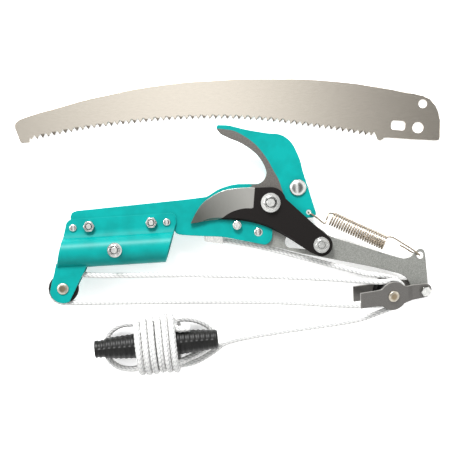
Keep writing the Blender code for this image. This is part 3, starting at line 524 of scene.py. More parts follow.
def filled(rings, spacing):
    """A flat face between rings: the rings' own points and a staggered lattice, joined as Delaunay
    triangles, with those outside the outline or inside a hole left out."""
    edge_points = np.vstack(rings)
    low, high = edge_points.min(0), edge_points.max(0)
    x, y = np.meshgrid(np.arange(low[0], high[0], spacing), np.arange(low[1], high[1], spacing * 0.87))
    x[1::2] += spacing / 2
    lattice = np.column_stack([x.ravel(), y.ravel()])
    lattice = lattice[inside(lattice, rings)]
    lattice = lattice[distance(lattice, rings) > spacing * 0.55]
    starts = np.cumsum([0] + [len(ring) for ring in rings])
    sides = [(s + i, s + (i + 1) % len(ring)) for s, ring in zip(starts, rings) for i in range(len(ring))]
    done = delaunay_2d_cdt([Vector(p) for p in np.vstack([edge_points, lattice])], sides, [], 0, 1e-5)
    flat, triangles = np.array([tuple(p) for p in done[0]]), np.array(done[2])
    return flat, triangles[inside(flat[triangles].mean(1), rings)]


# %% A stamped plate


def outward_turned(loop, hole):
    """The loop in the sense that keeps the metal on its left."""
    loop = np.asarray(loop, float)
    x, y = loop.T
    anticlockwise = (x * np.roll(y, -1) - np.roll(x, -1) * y).sum() > 0
    return loop if anticlockwise != hole else loop[::-1]


def mitres(loop):
    """Which way, and how far per millimetre of inset, each point of a loop moves into the metal."""
    ahead = np.roll(loop, -1, 0) - loop
    ahead /= np.maximum(np.linalg.norm(ahead, axis=1), 1e-9)[:, None]
    normal = np.column_stack([-ahead[:, 1], ahead[:, 0]])
    both = normal + np.roll(normal, 1, 0)
    both /= np.maximum(np.linalg.norm(both, axis=1), 1e-9)[:, None]
    return both / np.clip((both * normal).sum(1), 0.5, 1)[:, None]


def plate(name, look, outline, holes, low, high, edge=0.35, spacing=3.0, ground=None, ground_under=None,
          formed=None, smooth=35.0):
    """Faces at two heights and a rim: a quarter round of the edge's radius, a wall and another quarter
    round, (e (1 - sin q), e (1 - cos q)) with q from 0 to 90. ground gives each outline point the width and
    drop of a bevel that is ground on the upper face, and ground_under does so on the lower one; formed
    bends the finished points."""
    loops = [outward_turned(outline, False)] + [outward_turned(hole, True) for hole in holes]
    q = np.radians((0, 30, 60, 90))
    insets, drops = edge * (1 - np.sin(q)), edge * (1 - np.cos(q))
    points, faces, caps = [], [], {low: [], high: []}
    count = 0
    for number, loop in enumerate(loops):
        bevels = [np.zeros((len(loop), 2)) if bevel is None or number else np.asarray(bevel, float)
                  for bevel in (ground_under, ground)]
        move = mitres(loop)
        rows = []
        for bevel, level, up in zip(bevels, (low, high), (1, -1)):
            width, drop = bevel.T
            side = [(edge + width + 0.25, level + 0 * drop), (edge + width, level + 0 * drop)]
            side += [(inset + 0 * width, level + up * (fall + drop)) for inset, fall in zip(insets, drops)]
            rows += side if up > 0 else side[::-1]
            caps[level].append(loop + move * (edge + width + 0.25)[:, None])
        grid = np.stack([np.column_stack([loop + move * inset[:, None], z]) for inset, z in rows])
        points.append(grid.reshape(-1, 3))
        faces += squares(len(rows), len(loop), True, False, count).tolist()
        count += len(points[-1])
    for level, rings in caps.items():
        flat, triangles = filled(rings, spacing)
        points.append(np.column_stack([flat, np.full(len(flat), level)]))
        faces += (triangles + count).tolist()
        count += len(flat)
    points = np.vstack(points)
    if formed:
        points = formed(points)
    piece = piece_of(name, points, faces, look, smooth)
    if not formed:
        mark(piece, "rim", distance(places(piece)[:, :2], loops))
    return piece


# %% [markdown]
# ## Paint and metal
# The hook plate and the socket are powder coated: the paint is sprayed on as dry powder and melted, which
# leaves a faint orange peel about a millimetre across and a satin sheen. Its rims are painted slightly
# lighter: a painted edge highlight, where the molten coat also drew thin. The inner edge of the hook is
# ground back to bare steel after coating, so its material is the same one with a mask: the signed distance
# to the ground band, in millimetres.

# %% Teal powder coat


def orange_peel(tree, coordinates, size, depth, strength=0.5, detail=3.0):
    """A bump of rounded cells: fractal noise of that size, both in millimetres."""
    cells = add_node(tree, "ShaderNodeTexNoise",
                     {"Scale": per_mm(size), "Detail": detail, "Roughness": 0.55}, {"Vector": coordinates})
    return add_node(tree, "ShaderNodeBump", {"Strength": strength, "Distance": depth * MM},
                    {"Height": cells.outputs["Fac"]})


def two_tones(tree, coordinates, size, dark, light, detail=3.0, low=0.35, high=0.65):
    """Colour that drifts between two tones over patches of a size in millimetres."""
    drift = add_node(tree, "ShaderNodeTexNoise", {"Scale": per_mm(size), "Detail": detail},
                     {"Vector": coordinates})
    ramp = add_node(tree, "ShaderNodeValToRGB", links={"Fac": drift.outputs["Fac"]})
    for spot, place, code in zip(ramp.color_ramp.elements, (low, high), (dark, light)):
        spot.position = place
        spot.color = linear(code)
    return ramp.outputs["Color"]


def blended(tree, factor, below, above, values=(0.0, 0.0)):
    """Colours mixed by a factor, or two numbers where the inputs are numbers."""
    kind = "RGBA" if below is not None else "FLOAT"
    mix = add_node(tree, "ShaderNodeMix", links={"Factor": factor}, data_type=kind)
    if kind == "FLOAT":
        mix.inputs["A"].default_value, mix.inputs["B"].default_value = values
        return mix.outputs["Result"]
    colours = [s for s in mix.inputs if s.type == "RGBA"]
    for socket, source in zip(colours, (below, above)):
        if isinstance(source, str):
            socket.default_value = linear(source)
        else:
            tree.links.new(source, socket)
    return next(s for s in mix.outputs if s.type == "RGBA")


def masked(tree, name, soft, wander=0.0, coordinates=None):
    """An attribute in millimetres turned to 0 below -soft and 1 above soft, with a wandering edge."""
    value = add_node(tree, "ShaderNodeAttribute", attribute_name=name).outputs["Fac"]
    if wander:
        noise = add_node(tree, "ShaderNodeTexNoise", {"Scale": per_mm(1.5), "Detail": 3.0},
                         {"Vector": coordinates})
        shift = add_node(tree, "ShaderNodeMath", {1: -0.5}, {0: noise.outputs["Fac"]}, operation="ADD")
        value = add_node(tree, "ShaderNodeMath", {1: wander}, {0: shift.outputs[0], 2: value},
                         operation="MULTIPLY_ADD").outputs[0]
    return add_node(tree, "ShaderNodeMapRange", {"From Min": -soft, "From Max": soft}, {"Value": value},
                    interpolation_type="SMOOTHSTEP").outputs["Result"]


def teal_coat(tree, coordinates, shader):
    """The coat's colour, which pales to a rim as a painted highlight over half a millimetre, and its orange
    peel.
    """
    teal = two_tones(tree, coordinates, 14, "#007D79", "#008884")
    # painted highlight: the coat is coloured paler within half a millimetre of a rim, where it is also thin
    thin_coat_and_rim_highlight = masked(tree, "rim", 0.55)
    peel = orange_peel(tree, coordinates, 1.1, 0.05, 0.35)
    tree.links.new(peel.outputs["Normal"], shader.inputs["Normal"])
    return blended(tree, thin_coat_and_rim_highlight, "#2FA39E", teal)


COAT_ROUGHNESS = 0.36
teal_look, tree, shader, coordinates = finish("teal_powder_coat", Roughness=COAT_ROUGHNESS, IOR=1.5,
                                              Specular_IOR_Level=0.13)
tree.links.new(teal_coat(tree, coordinates, shader), shader.inputs["Base Color"])

# %% Teal coat with a ground steel band
hook_look, tree, shader, coordinates = finish("powder_coat_ground_to_steel", IOR=1.5,
                                              Specular_IOR_Level=0.13)
bare = masked(tree, "ground_band", 0.12, 0.35, coordinates)
coat = teal_coat(tree, coordinates, shader)
steel = two_tones(tree, coordinates, 1.2, "#64625E", "#74716D", 3.0)
tree.links.new(blended(tree, bare, coat, steel), shader.inputs["Base Color"])
tree.links.new(blended(tree, bare, None, None, (0.0, 0.85)), shader.inputs["Metallic"])
tree.links.new(blended(tree, bare, None, None, (COAT_ROUGHNESS, 0.42)), shader.inputs["Roughness"])

# %% [markdown]
# The hook plate carries everything. Its outline runs from the socket's flange up into the hook, whose inner
# edge is the anvil that the blade passes, and back round the pivots.

# %% Hook plate
PLATE_REAR, PLATE_FRONT, PLATE_MID = 17.5, 20.5, 19.0
SAW_BOLT, LEVER_PIVOT, STOP_PIN = (25.2, 12.1), (-12.5, -25.6), (-31.3, -18.4)
CLAMP_BOLTS, SOCKET_RIVETS = ((-163.8, -11.3), (-107.9, -11.3)), ((-178.4, -11.6), (-94.2, -11.6))
CENTRE_BOLT = (-141.4, -33.6)
hook_inside = spline([(-11.6, 17.9), (-9, 18.4), (-4.6, 21.2), (-2.1, 26.8), (-3.3, 33.3), (-7.7, 41.7),
                      (-14.5, 48.9), (-23.7, 55.5), (-33.1, 60.1), (-40.9, 64.4)])
hook_outside = spline([(-42, 72.8), (-32.4, 71.6), (-18.2, 67.2), (0.8, 62.8), (11.3, 61.2), (18.6, 56.9),
                       (24, 49.8), (28.9, 36.8), (30.6, 27)])
hook_outline = np.vstack([
    spline([(-187, -19.6), (-184.6, -9.8), (-183.2, -6.4), (-180.7, -4.4), (-180.3, -1.2), (-178.4, 2.2),
            (-174.1, 3.7)], 5),
    spline([(-81.1, 7.5), (-59, 8.9), (-56, 9.6), (-46.4, 14.8), (-36.8, 17.7), (-28.4, 18.8)])[1:],
    hook_inside,
    spline([(-44, 68.6), (-44.3, 71), (-43.4, 72.6)], 4), hook_outside, arc((36.3, -11.6), 4, 20, -85, 12),
    spline([(20, -15.6), (7, -17.4), (0.6, -22)], 4), arc((-8.4, -29.2), 8.2, -10, -85, 12),
    spline([(-27.3, -32.4), (-45, -28), (-64, -26), (-83.5, -23.4), (-88, -19.6)], 5)])
hook_holes = [circle((0, 0), 4.3), circle(LEVER_PIVOT, 4.0), circle(STOP_PIN, 3.2), circle(SAW_BOLT, 3.3),
              circle((33.8, -10.6), 2.3)]
hook_plate = plate("hooked_plate", hook_look, hook_outline, hook_holes, PLATE_REAR, PLATE_FRONT, 0.45, 2.2)
band_line = spline([(-44.6, 70.2), (-43.8, 69.6), (-29.5, 66.8), (-19.4, 60.9), (-11, 53.9), (-5, 46.3),
                    (0.1, 38), (4.4, 28.9), (8.7, 19.7), (12.6, 5)])
band = np.vstack([band_line, [(-18, 5), (-18, 17.4)], hook_inside - (0.4, 0.4), [(-46, 66)]])
spots = places(hook_plate)
signed = distance(spots[:, :2], [band_line], closed=False) * np.where(inside(spots[:, :2], [band]), 1, -1)
mark(hook_plate, "ground_band", np.where(spots[:, 2] > PLATE_REAR + 0.6, signed, -1))
belongs(hook_plate, "head", "teal_powder_coat", "hook_plate")

# %% [markdown]
# The pole socket is two pressed shells that meet on the plate. One sheet starts as a flat flange, rolls into
# half a tube, and ends just short of the other half. It is a profile in y and z, carried along x between two
# slanting ends, and given the sheet's thickness on both sides of its middle line.

# %% Pole socket
SOCKET_Y, SOCKET_RADIUS, SHEET, GAP = -33.6, 13.0, 1.8, 0.3
FLANGE_TOP, FLANGE_CORNER = -3.7, 4.8
flange = PLATE_FRONT - PLATE_MID + GAP + SHEET / 2
bend_start = math.degrees(math.asin(flange / SOCKET_RADIUS))
middle = np.vstack([np.column_stack([np.linspace(FLANGE_TOP, -14.5, 28), np.full(28, flange)]),
                    spline([(-15.5, flange),
                            *arc((SOCKET_Y, 0), SOCKET_RADIUS, bend_start + 7, 178, 48)], 2)])


def socket_half(name, side, node):
    """Half of the socket: middle line (y, z), ends at x = slanting lines with rounded corners, and a skin
    half the sheet's thickness off the middle on either side. A flat ear stands off its lower edge."""
    along = np.gradient(middle, axis=0)
    along /= np.linalg.norm(along, axis=1)[:, None]
    normal = np.column_stack([-along[:, 1], along[:, 0]])
    y = middle[:, 0]
    into_corner = np.clip(FLANGE_CORNER - (FLANGE_TOP - y), 0, None)
    corner = FLANGE_CORNER - np.sqrt(np.clip(FLANGE_CORNER ** 2 - into_corner ** 2, 0, None))
    left = -184.3 + (y + 6.6) * 0.267 + corner
    right = -85.6 + np.minimum(0, y + 12.8) * 0.341 - corner
    q = np.radians(np.arange(0, 181, 30))
    half, soft = SHEET / 2, 0.35
    share = np.linspace(0, 1, 40)
    edge_in, edge_up = soft * (1 - np.sin(q)), half * np.cos(q)
    inner = right - left - 2 * soft
    rows = [np.column_stack([left + inset, middle + normal * up])
            for inset, up in zip(edge_in[::-1], edge_up[::-1])]
    rows += [np.column_stack([left + soft + inner * s, middle + normal * half]) for s in share[1:-1]]
    rows += [np.column_stack([right - inset, middle + normal * up]) for inset, up in zip(edge_in, edge_up)]
    rows += [np.column_stack([left + soft + inner * s, middle - normal * half]) for s in share[::-1][1:-1]]
    grid = np.stack(rows, 1)
    grid[..., 2] = PLATE_MID + side * grid[..., 2]
    points, faces = capped(grid)
    ear = np.vstack([[(-195.2, -42.5), (-166.4, -42.5)],
                     spline([(-168, -46.4), (-170.6, -51.5), (-177.4, -63.2), (-180.6, -69.1)], 5),
                     arc((-190.2, -66.4), 12, -66, -174, 30),
                     spline([(-200.2, -60), (-197.4, -51), (-195.8, -45)], 4)])
    levels = sorted((PLATE_MID + side * 4.7, PLATE_MID + side * 6.5))
    lug = plate(name + "_ear", teal_look, ear, [circle(GUIDE_PULLEY[:2], 3.1)], *levels, 0.35, 3.0)
    shell = piece_of(name, points, faces, teal_look)
    x, y, _ = places(shell).T
    left_here = np.interp(-y, -middle[:, 0], left)
    right_here = np.interp(-y, -middle[:, 0], right)
    mark(shell, "rim", np.minimum(np.minimum(x - left_here, right_here - x), FLANGE_TOP - y))
    for piece in (lug, shell):
        belongs(piece, "head", "teal_powder_coat", node)
    return shell


socket_half("socket_front_half", 1, "socket_front_shell")
socket_half("socket_rear_half", -1, "socket_rear_shell")

# %% [markdown]
# ## The cutting blade
# The blade is tool steel with a black coat on its arm. The cutting part is ground bright, and its colour is
# painted darker towards its tip: painted shade, standing in for the concave grind turning away from the light,
# which the plate's flat faces do not have. A narrow bevel along the edge does the cutting. The bevel is real
# geometry: the rim's top corner moves 1.5 mm in and drops 2.2 mm along the edge only.

# %% Ground steel and black coat
blade_look, tree, shader, coordinates = finish("tool_steel_part_black_coated", IOR=1.5,
                                               Specular_IOR_Level=0.15)
ground = masked(tree, "ground_zone", 0.1, 0.15, coordinates)
across_grain = add_node(tree, "ShaderNodeMapping", {"Scale": (1.0, 0.12, 1.0)}, {"Vector": coordinates})
scratches = add_node(tree, "ShaderNodeTexNoise", {"Scale": per_mm(0.5), "Detail": 4.0},
                     {"Vector": across_grain.outputs["Vector"]})
# painted shade: the ground steel is coloured darker the nearer it lies to the tip
tip_distance = add_node(tree, "ShaderNodeAttribute", attribute_name="from_tip")
painted_tip_shade = add_node(tree, "ShaderNodeMath", {1: 5.0},
                  {0: scratches.outputs["Fac"], 2: tip_distance.outputs["Fac"]}, operation="MULTIPLY_ADD")
steel_ramp = add_node(tree, "ShaderNodeMapRange", {"From Min": 12.0, "From Max": 60.0},
                      {"Value": painted_tip_shade.outputs[0]})
steel = blended(tree, steel_ramp.outputs["Result"], "#62635E", "#B4B3AE")
coat = two_tones(tree, coordinates, 0.8, "#0B0908", "#151110", 5.0)
tree.links.new(blended(tree, ground, coat, steel), shader.inputs["Base Color"])
tree.links.new(blended(tree, ground, None, None, (0.0, 1.0)), shader.inputs["Metallic"])
tree.links.new(blended(tree, ground, None, None, (0.5, 0.3)), shader.inputs["Roughness"])
tree.links.new(orange_peel(tree, coordinates, 0.35, 0.02, 0.3).outputs["Normal"], shader.inputs["Normal"])

# %% Cutting blade
BLADE_REAR, BLADE_FRONT = 21.3, 24.8
DRIVE_PIN = (43.0, -40.6)
BEVEL_WIDTH, BEVEL_DROP = 1.5, 2.2
cutting_edge = spline([(-72.8, -14.2), (-67.4, -4.9), (-60.5, 3.6), (-51.3, 9.4), (-42.1, 13.3),
                       (-32.4, 14.7), (-22.7, 14.9), (-13.4, 14.3)])
under_edge = spline([(33, -46.6), (25.7, -41.3), (11.4, -31), (-2.5, -22.6), (-13.5, -17.9), (-24.5, -14.9),
                     (-34.1, -13.4), (-49, -12.1), (-61.5, -12.9)])
blade_outline = np.vstack([cutting_edge, arc((0, 0), 14, 92, 12, 24),
                           spline([(33, -17.0), (49.9, -33.9)], 2)[:2],
                           arc(DRIVE_PIN, 10.1, 44, -110, 40), under_edge, [(-66.8, -13.7)]])
from_tip = np.linalg.norm(blade_outline - blade_outline[0], axis=1)
on_edge = np.arange(len(blade_outline)) < len(cutting_edge)
to_heel = len(cutting_edge) - np.arange(len(blade_outline))
fade = np.clip(from_tip / 6, 0.05, 1) * np.clip(to_heel / 5, 0, 1)
bevel = np.where(on_edge[:, None], fade[:, None] * (BEVEL_WIDTH, BEVEL_DROP), 0)
blade_holes = [circle((0, 0), 4.3), circle(DRIVE_PIN, 3.3)]
cutting_blade = plate("ground_cutting_blade", blade_look, blade_outline, blade_holes, BLADE_REAR,
                      BLADE_FRONT, 0.25, 1.8, ground=bevel)
coat_line = np.vstack([[(-13.2, 17.0)], spline([(-13.4, 14.3), (-14.6, 6.0), (-15.9, -3.6)], 4),
                       spline([(-16.4, -4.1), (-23.8, -3.6), (-32, -5), (-38.6, -7.5), (-44.4, -11.1),
                               (-49, -12.1), (-55, -13.8), (-60, -18)])])
steel_zone = np.vstack([coat_line, [(-80, -18), (-80, 20), (-13.2, 20)]])
spots = places(cutting_blade)[:, :2]
signed = distance(spots, [coat_line], closed=False) * np.where(inside(spots, [steel_zone]), 1, -1)
mark(cutting_blade, "ground_zone", signed)
mark(cutting_blade, "from_tip", np.linalg.norm(spots - blade_outline[0], axis=1))
belongs(cutting_blade, "blade", "black_coating", "cutting_blade")

# %% [markdown]
# ## The lever
# The lever has a grey hammered finish: a metal-flaked paint that draws up into small dimples as it dries. In
# its middle is a cam window, the shape that the drive pin sweeps as the lever turns. We find that shape as
# the machinist would: put the pin in every position, and take the outline round all of them.

# %% Hammered paint
lever_look, tree, shader, coordinates = finish("grey_hammered_paint", Metallic=0.55, Roughness=0.4)
flakes = add_node(tree, "ShaderNodeTexVoronoi", {"Scale": per_mm(0.55)}, {"Vector": coordinates})
flake_tone = add_node(tree, "ShaderNodeValToRGB", links={"Fac": flakes.outputs["Color"]})
flake_tone.color_ramp.elements[0].color = linear("#747571")
flake_tone.color_ramp.elements[1].color = linear("#9C9D98")
# painted highlight: the paint is coloured paler within half a millimetre of a rim
painted_rim_highlight = masked(tree, "rim", 0.5)
tree.links.new(blended(tree, painted_rim_highlight, "#A5A5A1", flake_tone.outputs["Color"]), shader.inputs["Base Color"])
tree.links.new(orange_peel(tree, coordinates, 0.9, 0.09, 0.5).outputs["Normal"], shader.inputs["Normal"])

# %% Lever
LEVER_REAR, LEVER_FRONT = 14.0, 17.0
LEVER_SPRING_HOLE = (131.8, -55.4)


def turned_about(points, centre, angles):
    """The points turned anticlockwise about a centre by each angle: a row of copies for every angle."""
    c, s = np.cos(angles)[:, None], np.sin(angles)[:, None]
    x, y = (np.atleast_2d(points) - centre).T
    return np.stack([x * c - y * s, x * s + y * c], -1) + centre


share = np.linspace(0, 1, 25)
travel = math.radians(91)
LEVER_PER_BLADE, WINDOW_RADIUS = 1.3, 5.5
pins = turned_about(DRIVE_PIN, (0.0, 0.0), -travel * share / LEVER_PER_BLADE)[:, 0]
in_lever = np.vstack([turned_about(pin, LEVER_PIVOT, np.array([travel * s]))[0]
                      for pin, s in zip(pins, share)])
swept = np.vstack([circle(pin, WINDOW_RADIUS, 60) for pin in in_lever])
fan = np.radians(np.arange(0, 360, 3))
reach_out = np.cos(fan)[:, None] * swept[:, 0] + np.sin(fan)[:, None] * swept[:, 1]
window = swept[np.argmax(reach_out, axis=1)]
window = window[np.linalg.norm(window - np.roll(window, 1, 0), axis=1) > 0.05]
lever_low = spline([(-5.5, -38.5), (5.7, -41.2), (25.2, -47.3), (46.5, -52.6), (67.7, -58), (87.7, -63.3),
                    (101.9, -67.5), (111.9, -70.9), (116.4, -73.3), (119.1, -76.4), (121.4, -80.5)])
lever_high = spline([(136.8, -56), (135.6, -51.2), (132.2, -49.3), (128.9, -50.8), (125.6, -53.7),
                     (122.9, -56), (117.8, -57.2), (113.4, -56.4), (94.8, -49.9), (76.3, -42.7),
                     (52.7, -33.5), (45.5, -27.5), (36, -21.6), (26, -18.6), (12, -17.5), (0, -16)])
lever_outline = np.vstack([lever_low, arc((126.4, -88.4), 5, 180, 270, 12),
                           arc((132.3, -88.4), 5, 270, 360, 12),
                           [(137.3, -82.5)], lever_high, arc(LEVER_PIVOT, 11.5, 65, 270, 36)])
lever_holes = [window, circle(LEVER_PIVOT, 3.95), circle(LEVER_SPRING_HOLE, 3.0),
               circle(BLOCK_BOLT[:2], 3.6)]
lever = plate("hammered_lever", lever_look, lever_outline, lever_holes, LEVER_REAR, LEVER_FRONT, 0.45, 3.2)
belongs(lever, "lever", "hammertone_paint", "lever_plate")

# %% [markdown]
# ## The pulley block
# Two cheeks of painted steel hold two grooved nylon wheels on one axle, and pinch the end of the lever with
# a small bolt. Each cheek is a flat stamping whose tail is bent inwards: we stamp it flat, then move each
# point towards the middle by a smooth step that starts past the round. The block hangs a little askew, so
# every point is turned by the block's own lean.

# %% Gunmetal paint
cheek_look, tree, shader, coordinates = finish("gunmetal_enamel", Metallic=0.35, Roughness=0.34)
tone = two_tones(tree, coordinates, 0.4, "#555350", "#696764", 4.0)
# painted highlight: the enamel is coloured paler within 0.3 mm of a rim
painted_rim_highlight = masked(tree, "rim", 0.3)
tree.links.new(blended(tree, painted_rim_highlight, "#9A9894", tone), shader.inputs["Base Color"])
tree.links.new(orange_peel(tree, coordinates, 0.6, 0.03, 0.35).outputs["Normal"], shader.inputs["Normal"])

# %% Cheeks
CHEEK, CHEEK_INSIDE, TAIL_INSIDE = 2.0, 8.4, 6.5
cheek_top = np.vstack([[(-31, 7.2)], spline([(-29, 7.22), (-18.5, 7.3), (-13.0, 7.5), (-11.4, 7.9)], 3),
                       arc((0, 0), 13.2, 140, 40, 30),
                       spline([(11.6, 8.0), (13.6, 7.4), (20, 7), (28, 6.6)], 4),
                       arc((BLOCK_LENGTH, 0), 6.6, 75, 0, 12)])
cheek_outline = np.vstack([cheek_top, (cheek_top * (1, -1))[::-1][1:]])


def cheek(name, side, node):
    """A cheek, flat at one height and bent by (height of the tail - height of the flat) u^2 (3 - 2u), where
    u runs from 0 to 1 over 7 mm; then turned with the block."""
    def formed(points):
        u = np.clip((points[:, 0] - 13) / 7, 0, 1)
        height = CHEEK_INSIDE + (TAIL_INSIDE - CHEEK_INSIDE) * u * u * (3 - 2 * u)
        bent = np.column_stack([points[:, :2], side * (height + points[:, 2])])
        return BLOCK + bent @ BLOCK_LEAN.T
    holes = [circle((0, 0), 3.1), circle((BLOCK_LENGTH, 0), 2.7)]
    made = plate(name, cheek_look, cheek_outline, holes, 0.0, CHEEK, 0.35, 1.6, formed=formed)
    flat = (places(made) - BLOCK) @ BLOCK_LEAN
    mark(made, "rim", distance(flat[:, :2], [cheek_outline]))
    return belongs(made, "block", "cheek_paint", node)


cheek("cheek_front", 1, "block_front_cheek")
cheek("cheek_rear", -1, "block_rear_cheek")

# %% [markdown]
# ## Turned parts
# Bolts, nuts, rivets and wheels are all turned about an axis: a profile of radius and height goes once
# round. A hexagon nut is the same thing with the radius held inside a hexagon, and because its profile is
# chamfered like a cone, the flats get the curved tops that real nuts have. Threads are a sawtooth that
# climbs one pitch for each turn.

# %% Turned parts


def turned(name, look, profile, place=(0.0, 0.0, 0.0), lean=None, steps=72, step=0.45, smooth=35.0):
    """(r cos a, r sin a, h) for a profile of (r, h), or (r, h, flat) with r no more than
    flat / cos(angle from the middle of the flat), or (r, h, 0, pitch) for a thread of that pitch."""
    rows = np.zeros((len(profile), 4))
    for row, point in zip(rows, profile):
        row[:len(point)] = point
    fine = resampled(rows, step)
    threaded = rows[:, 3].any()
    if threaded:
        fine = resampled(rows, 0.16)
    a = 2 * np.pi * np.arange(steps) / steps
    radius = np.repeat(fine[:, :1], steps, 1)
    flat = fine[:, 2:3] / np.cos(a % (np.pi / 3) - np.pi / 6)
    radius = np.where(fine[:, 2:3] > 0, np.minimum(radius, flat), radius)
    pitch = fine[:, 3:4]
    tooth = np.abs((fine[:, 1:2] / np.maximum(pitch, 0.1) + a / (2 * np.pi)) % 1 - 0.5) * 2
    radius = radius - np.where(pitch > 0, 0.55 * pitch * tooth, 0)
    grid = np.stack([radius * np.cos(a), radius * np.sin(a), np.repeat(fine[:, 1:2], steps, 1)], -1)
    bored = profile[0][0] > 0
    turn = np.eye(3) if lean is None else np.asarray(lean)
    points = grid.reshape(-1, 3) @ turn.T + place
    made = piece_of(name, points, squares(len(fine), steps, True, bored).tolist(), look, smooth)
    mark(made, "from_axis", np.linalg.norm(((places(made) - place) @ turn)[:, :2], axis=1))
    return made


def upright(name, look, profile, place, body, slot, node):
    """A part turned about an upright axis through a place in the plan."""
    made = turned(name, look, profile, (place[0], place[1], 0.0))
    return belongs(made, body, slot, node)


# %% [markdown]
# The small hardware is zinc plated: bright, and mottled where the crystals of zinc have grown in different
# directions. Axles are plain turned steel, warm from oil, and coloured darker within about 3 mm of their axis.

# %% Zinc plate and turned steel
zinc_look, tree, shader, coordinates = finish("zinc_plated_steel", Metallic=1.0)
spangle = add_node(tree, "ShaderNodeTexVoronoi", {"Scale": per_mm(1.3)}, {"Vector": coordinates})
spangle_tone = add_node(tree, "ShaderNodeValToRGB", links={"Fac": spangle.outputs["Color"]})
spangle_tone.color_ramp.elements[0].color = linear("#C4C5C3")
spangle_tone.color_ramp.elements[1].color = linear("#DDDDD9")
tree.links.new(spangle_tone.outputs["Color"], shader.inputs["Base Color"])
mottle = add_node(tree, "ShaderNodeTexNoise", {"Scale": per_mm(0.8), "Detail": 3.0}, {"Vector": coordinates})
mottle_range = add_node(tree, "ShaderNodeMapRange", {"To Min": 0.1, "To Max": 0.26},
                        {"Value": mottle.outputs["Fac"]})
tree.links.new(mottle_range.outputs["Result"], shader.inputs["Roughness"])
tree.links.new(orange_peel(tree, coordinates, 0.7, 0.01, 0.2).outputs["Normal"], shader.inputs["Normal"])

axle_look, tree, shader, coordinates = finish("turned_axle_steel", Metallic=1.0, Roughness=0.3)
axis_distance = add_node(tree, "ShaderNodeAttribute", attribute_name="from_axis")
# darker near the axis: a browner grey within 2.2 mm of the axis, blending into the steel by 3.8 mm
centre = add_node(tree, "ShaderNodeMapRange", {"From Min": 2.2, "From Max": 3.8},
                  {"Value": axis_distance.outputs["Fac"]})
turned_steel = two_tones(tree, coordinates, 2.5, "#BDB4A2", "#DAD4C8", 4.0)
axle_tone = blended(tree, centre.outputs["Result"], "#8D7F69", turned_steel)
tree.links.new(axle_tone, shader.inputs["Base Color"])
tree.links.new(orange_peel(tree, coordinates, 0.5, 0.02, 0.25).outputs["Normal"], shader.inputs["Normal"])

# %% Socket fasteners
shell_top, shell_low = PLATE_FRONT + 2 * GAP + SHEET, PLATE_REAR - 2 * GAP - SHEET


def rivet_profile(shank, low, high, rear, front, rise=1.5):
    """Shank between two crowned heads: heads are arcs flattened from their rim to the middle."""
    crown = [(1.0, 0.0), (1.0, 0.35), (0.9, 0.68), (0.7, 0.88), (0.4, 0.98), (0.0, 1.0)]
    under = [(rear * r, low - rise * h) for r, h in crown[::-1]]
    return under + [(shank, low), (shank, high)] + [(front * r, high + rise * h) for r, h in crown]


def nut_profile(flat, bore, low, high, flange=0.0):
    """A hexagon nut with both chamfers cut as cones, and a thin round flange below where there is one."""
    lean, wide = 0.55, flat * 1.16
    chamfered = [(flat * 0.96, low, flat), (wide, low + lean, flat), (wide, high - lean, flat),
                 (flat * 0.96, high, flat)]
    if flange:
        chamfered = [(flange - 0.2, low), (flange, low + 0.2), (flange - 0.1, low + 0.9),
                     (flat * 1.12, low + 1.7, flat), (wide, low + 1.9, flat), (wide, high - lean, flat),
                     (flat * 0.96, high, flat)]
    return [(bore, low)] + chamfered + [(bore + 0.5, high), (bore, high - 0.5)]


def stud_profile(shank, low, high, pitch=0.8):
    """The threaded end of a bolt, with a small chamfer."""
    return [(shank, low), (shank, low + 0.1, 0, pitch), (shank, high - 0.6, 0, pitch), (shank - 0.5, high),
            (0.0, high)]


for side, place in zip(("left", "right"), SOCKET_RIVETS):
    rivet = rivet_profile(2.1, shell_low, shell_top, 3.3, 3.4)
    upright("flange_rivet_" + side, zinc_look, rivet, place, "head", "zinc_plate", "socket_rivet_" + side)
for side, place in zip(("left", "right"), CLAMP_BOLTS):
    bolt = [(0, shell_low - 3.4), (4.3, shell_low - 3.4, 4.5), (5.2, shell_low - 2.9, 4.5),
            (5.2, shell_low, 4.5), (2.5, shell_low)]
    bolt += stud_profile(2.5, shell_top + 0.1, shell_top + 5.6)
    upright("flange_bolt_" + side, zinc_look, bolt, place, "head", "zinc_plate", "clamp_bolt_" + side)
    nut = nut_profile(4.5, 2.6, shell_top, shell_top + 4.2)
    upright("flange_nut_" + side, zinc_look, nut, place, "head", "zinc_plate", "clamp_nut_" + side)
tube_top = PLATE_MID + SOCKET_RADIUS + SHEET / 2 + GAP
tube_low = 2 * PLATE_MID - tube_top
bolt = [(0, 0.0), (4.8, 0.0, 5.0), (5.8, 0.6, 5.0), (5.8, tube_low, 5.0), (3, tube_low)]
bolt += stud_profile(3, tube_top, tube_top + 6, 1.0)
upright("pole_bolt", zinc_look, bolt, CENTRE_BOLT, "head", "zinc_plate", "centre_bolt")
nut = nut_profile(5, 3.1, tube_top, tube_top + 4.8, 6.6)
upright("pole_nut", zinc_look, nut, CENTRE_BOLT, "head", "zinc_plate", "centre_nut")
axle = rivet_profile(3.0, PLATE_MID - 6.8, PLATE_MID + 6.8, 5.1, 5.1, 1.6)
upright("guide_axle", axle_look, axle, GUIDE_PULLEY, "head", "axle_steel", "guide_pulley_axle")

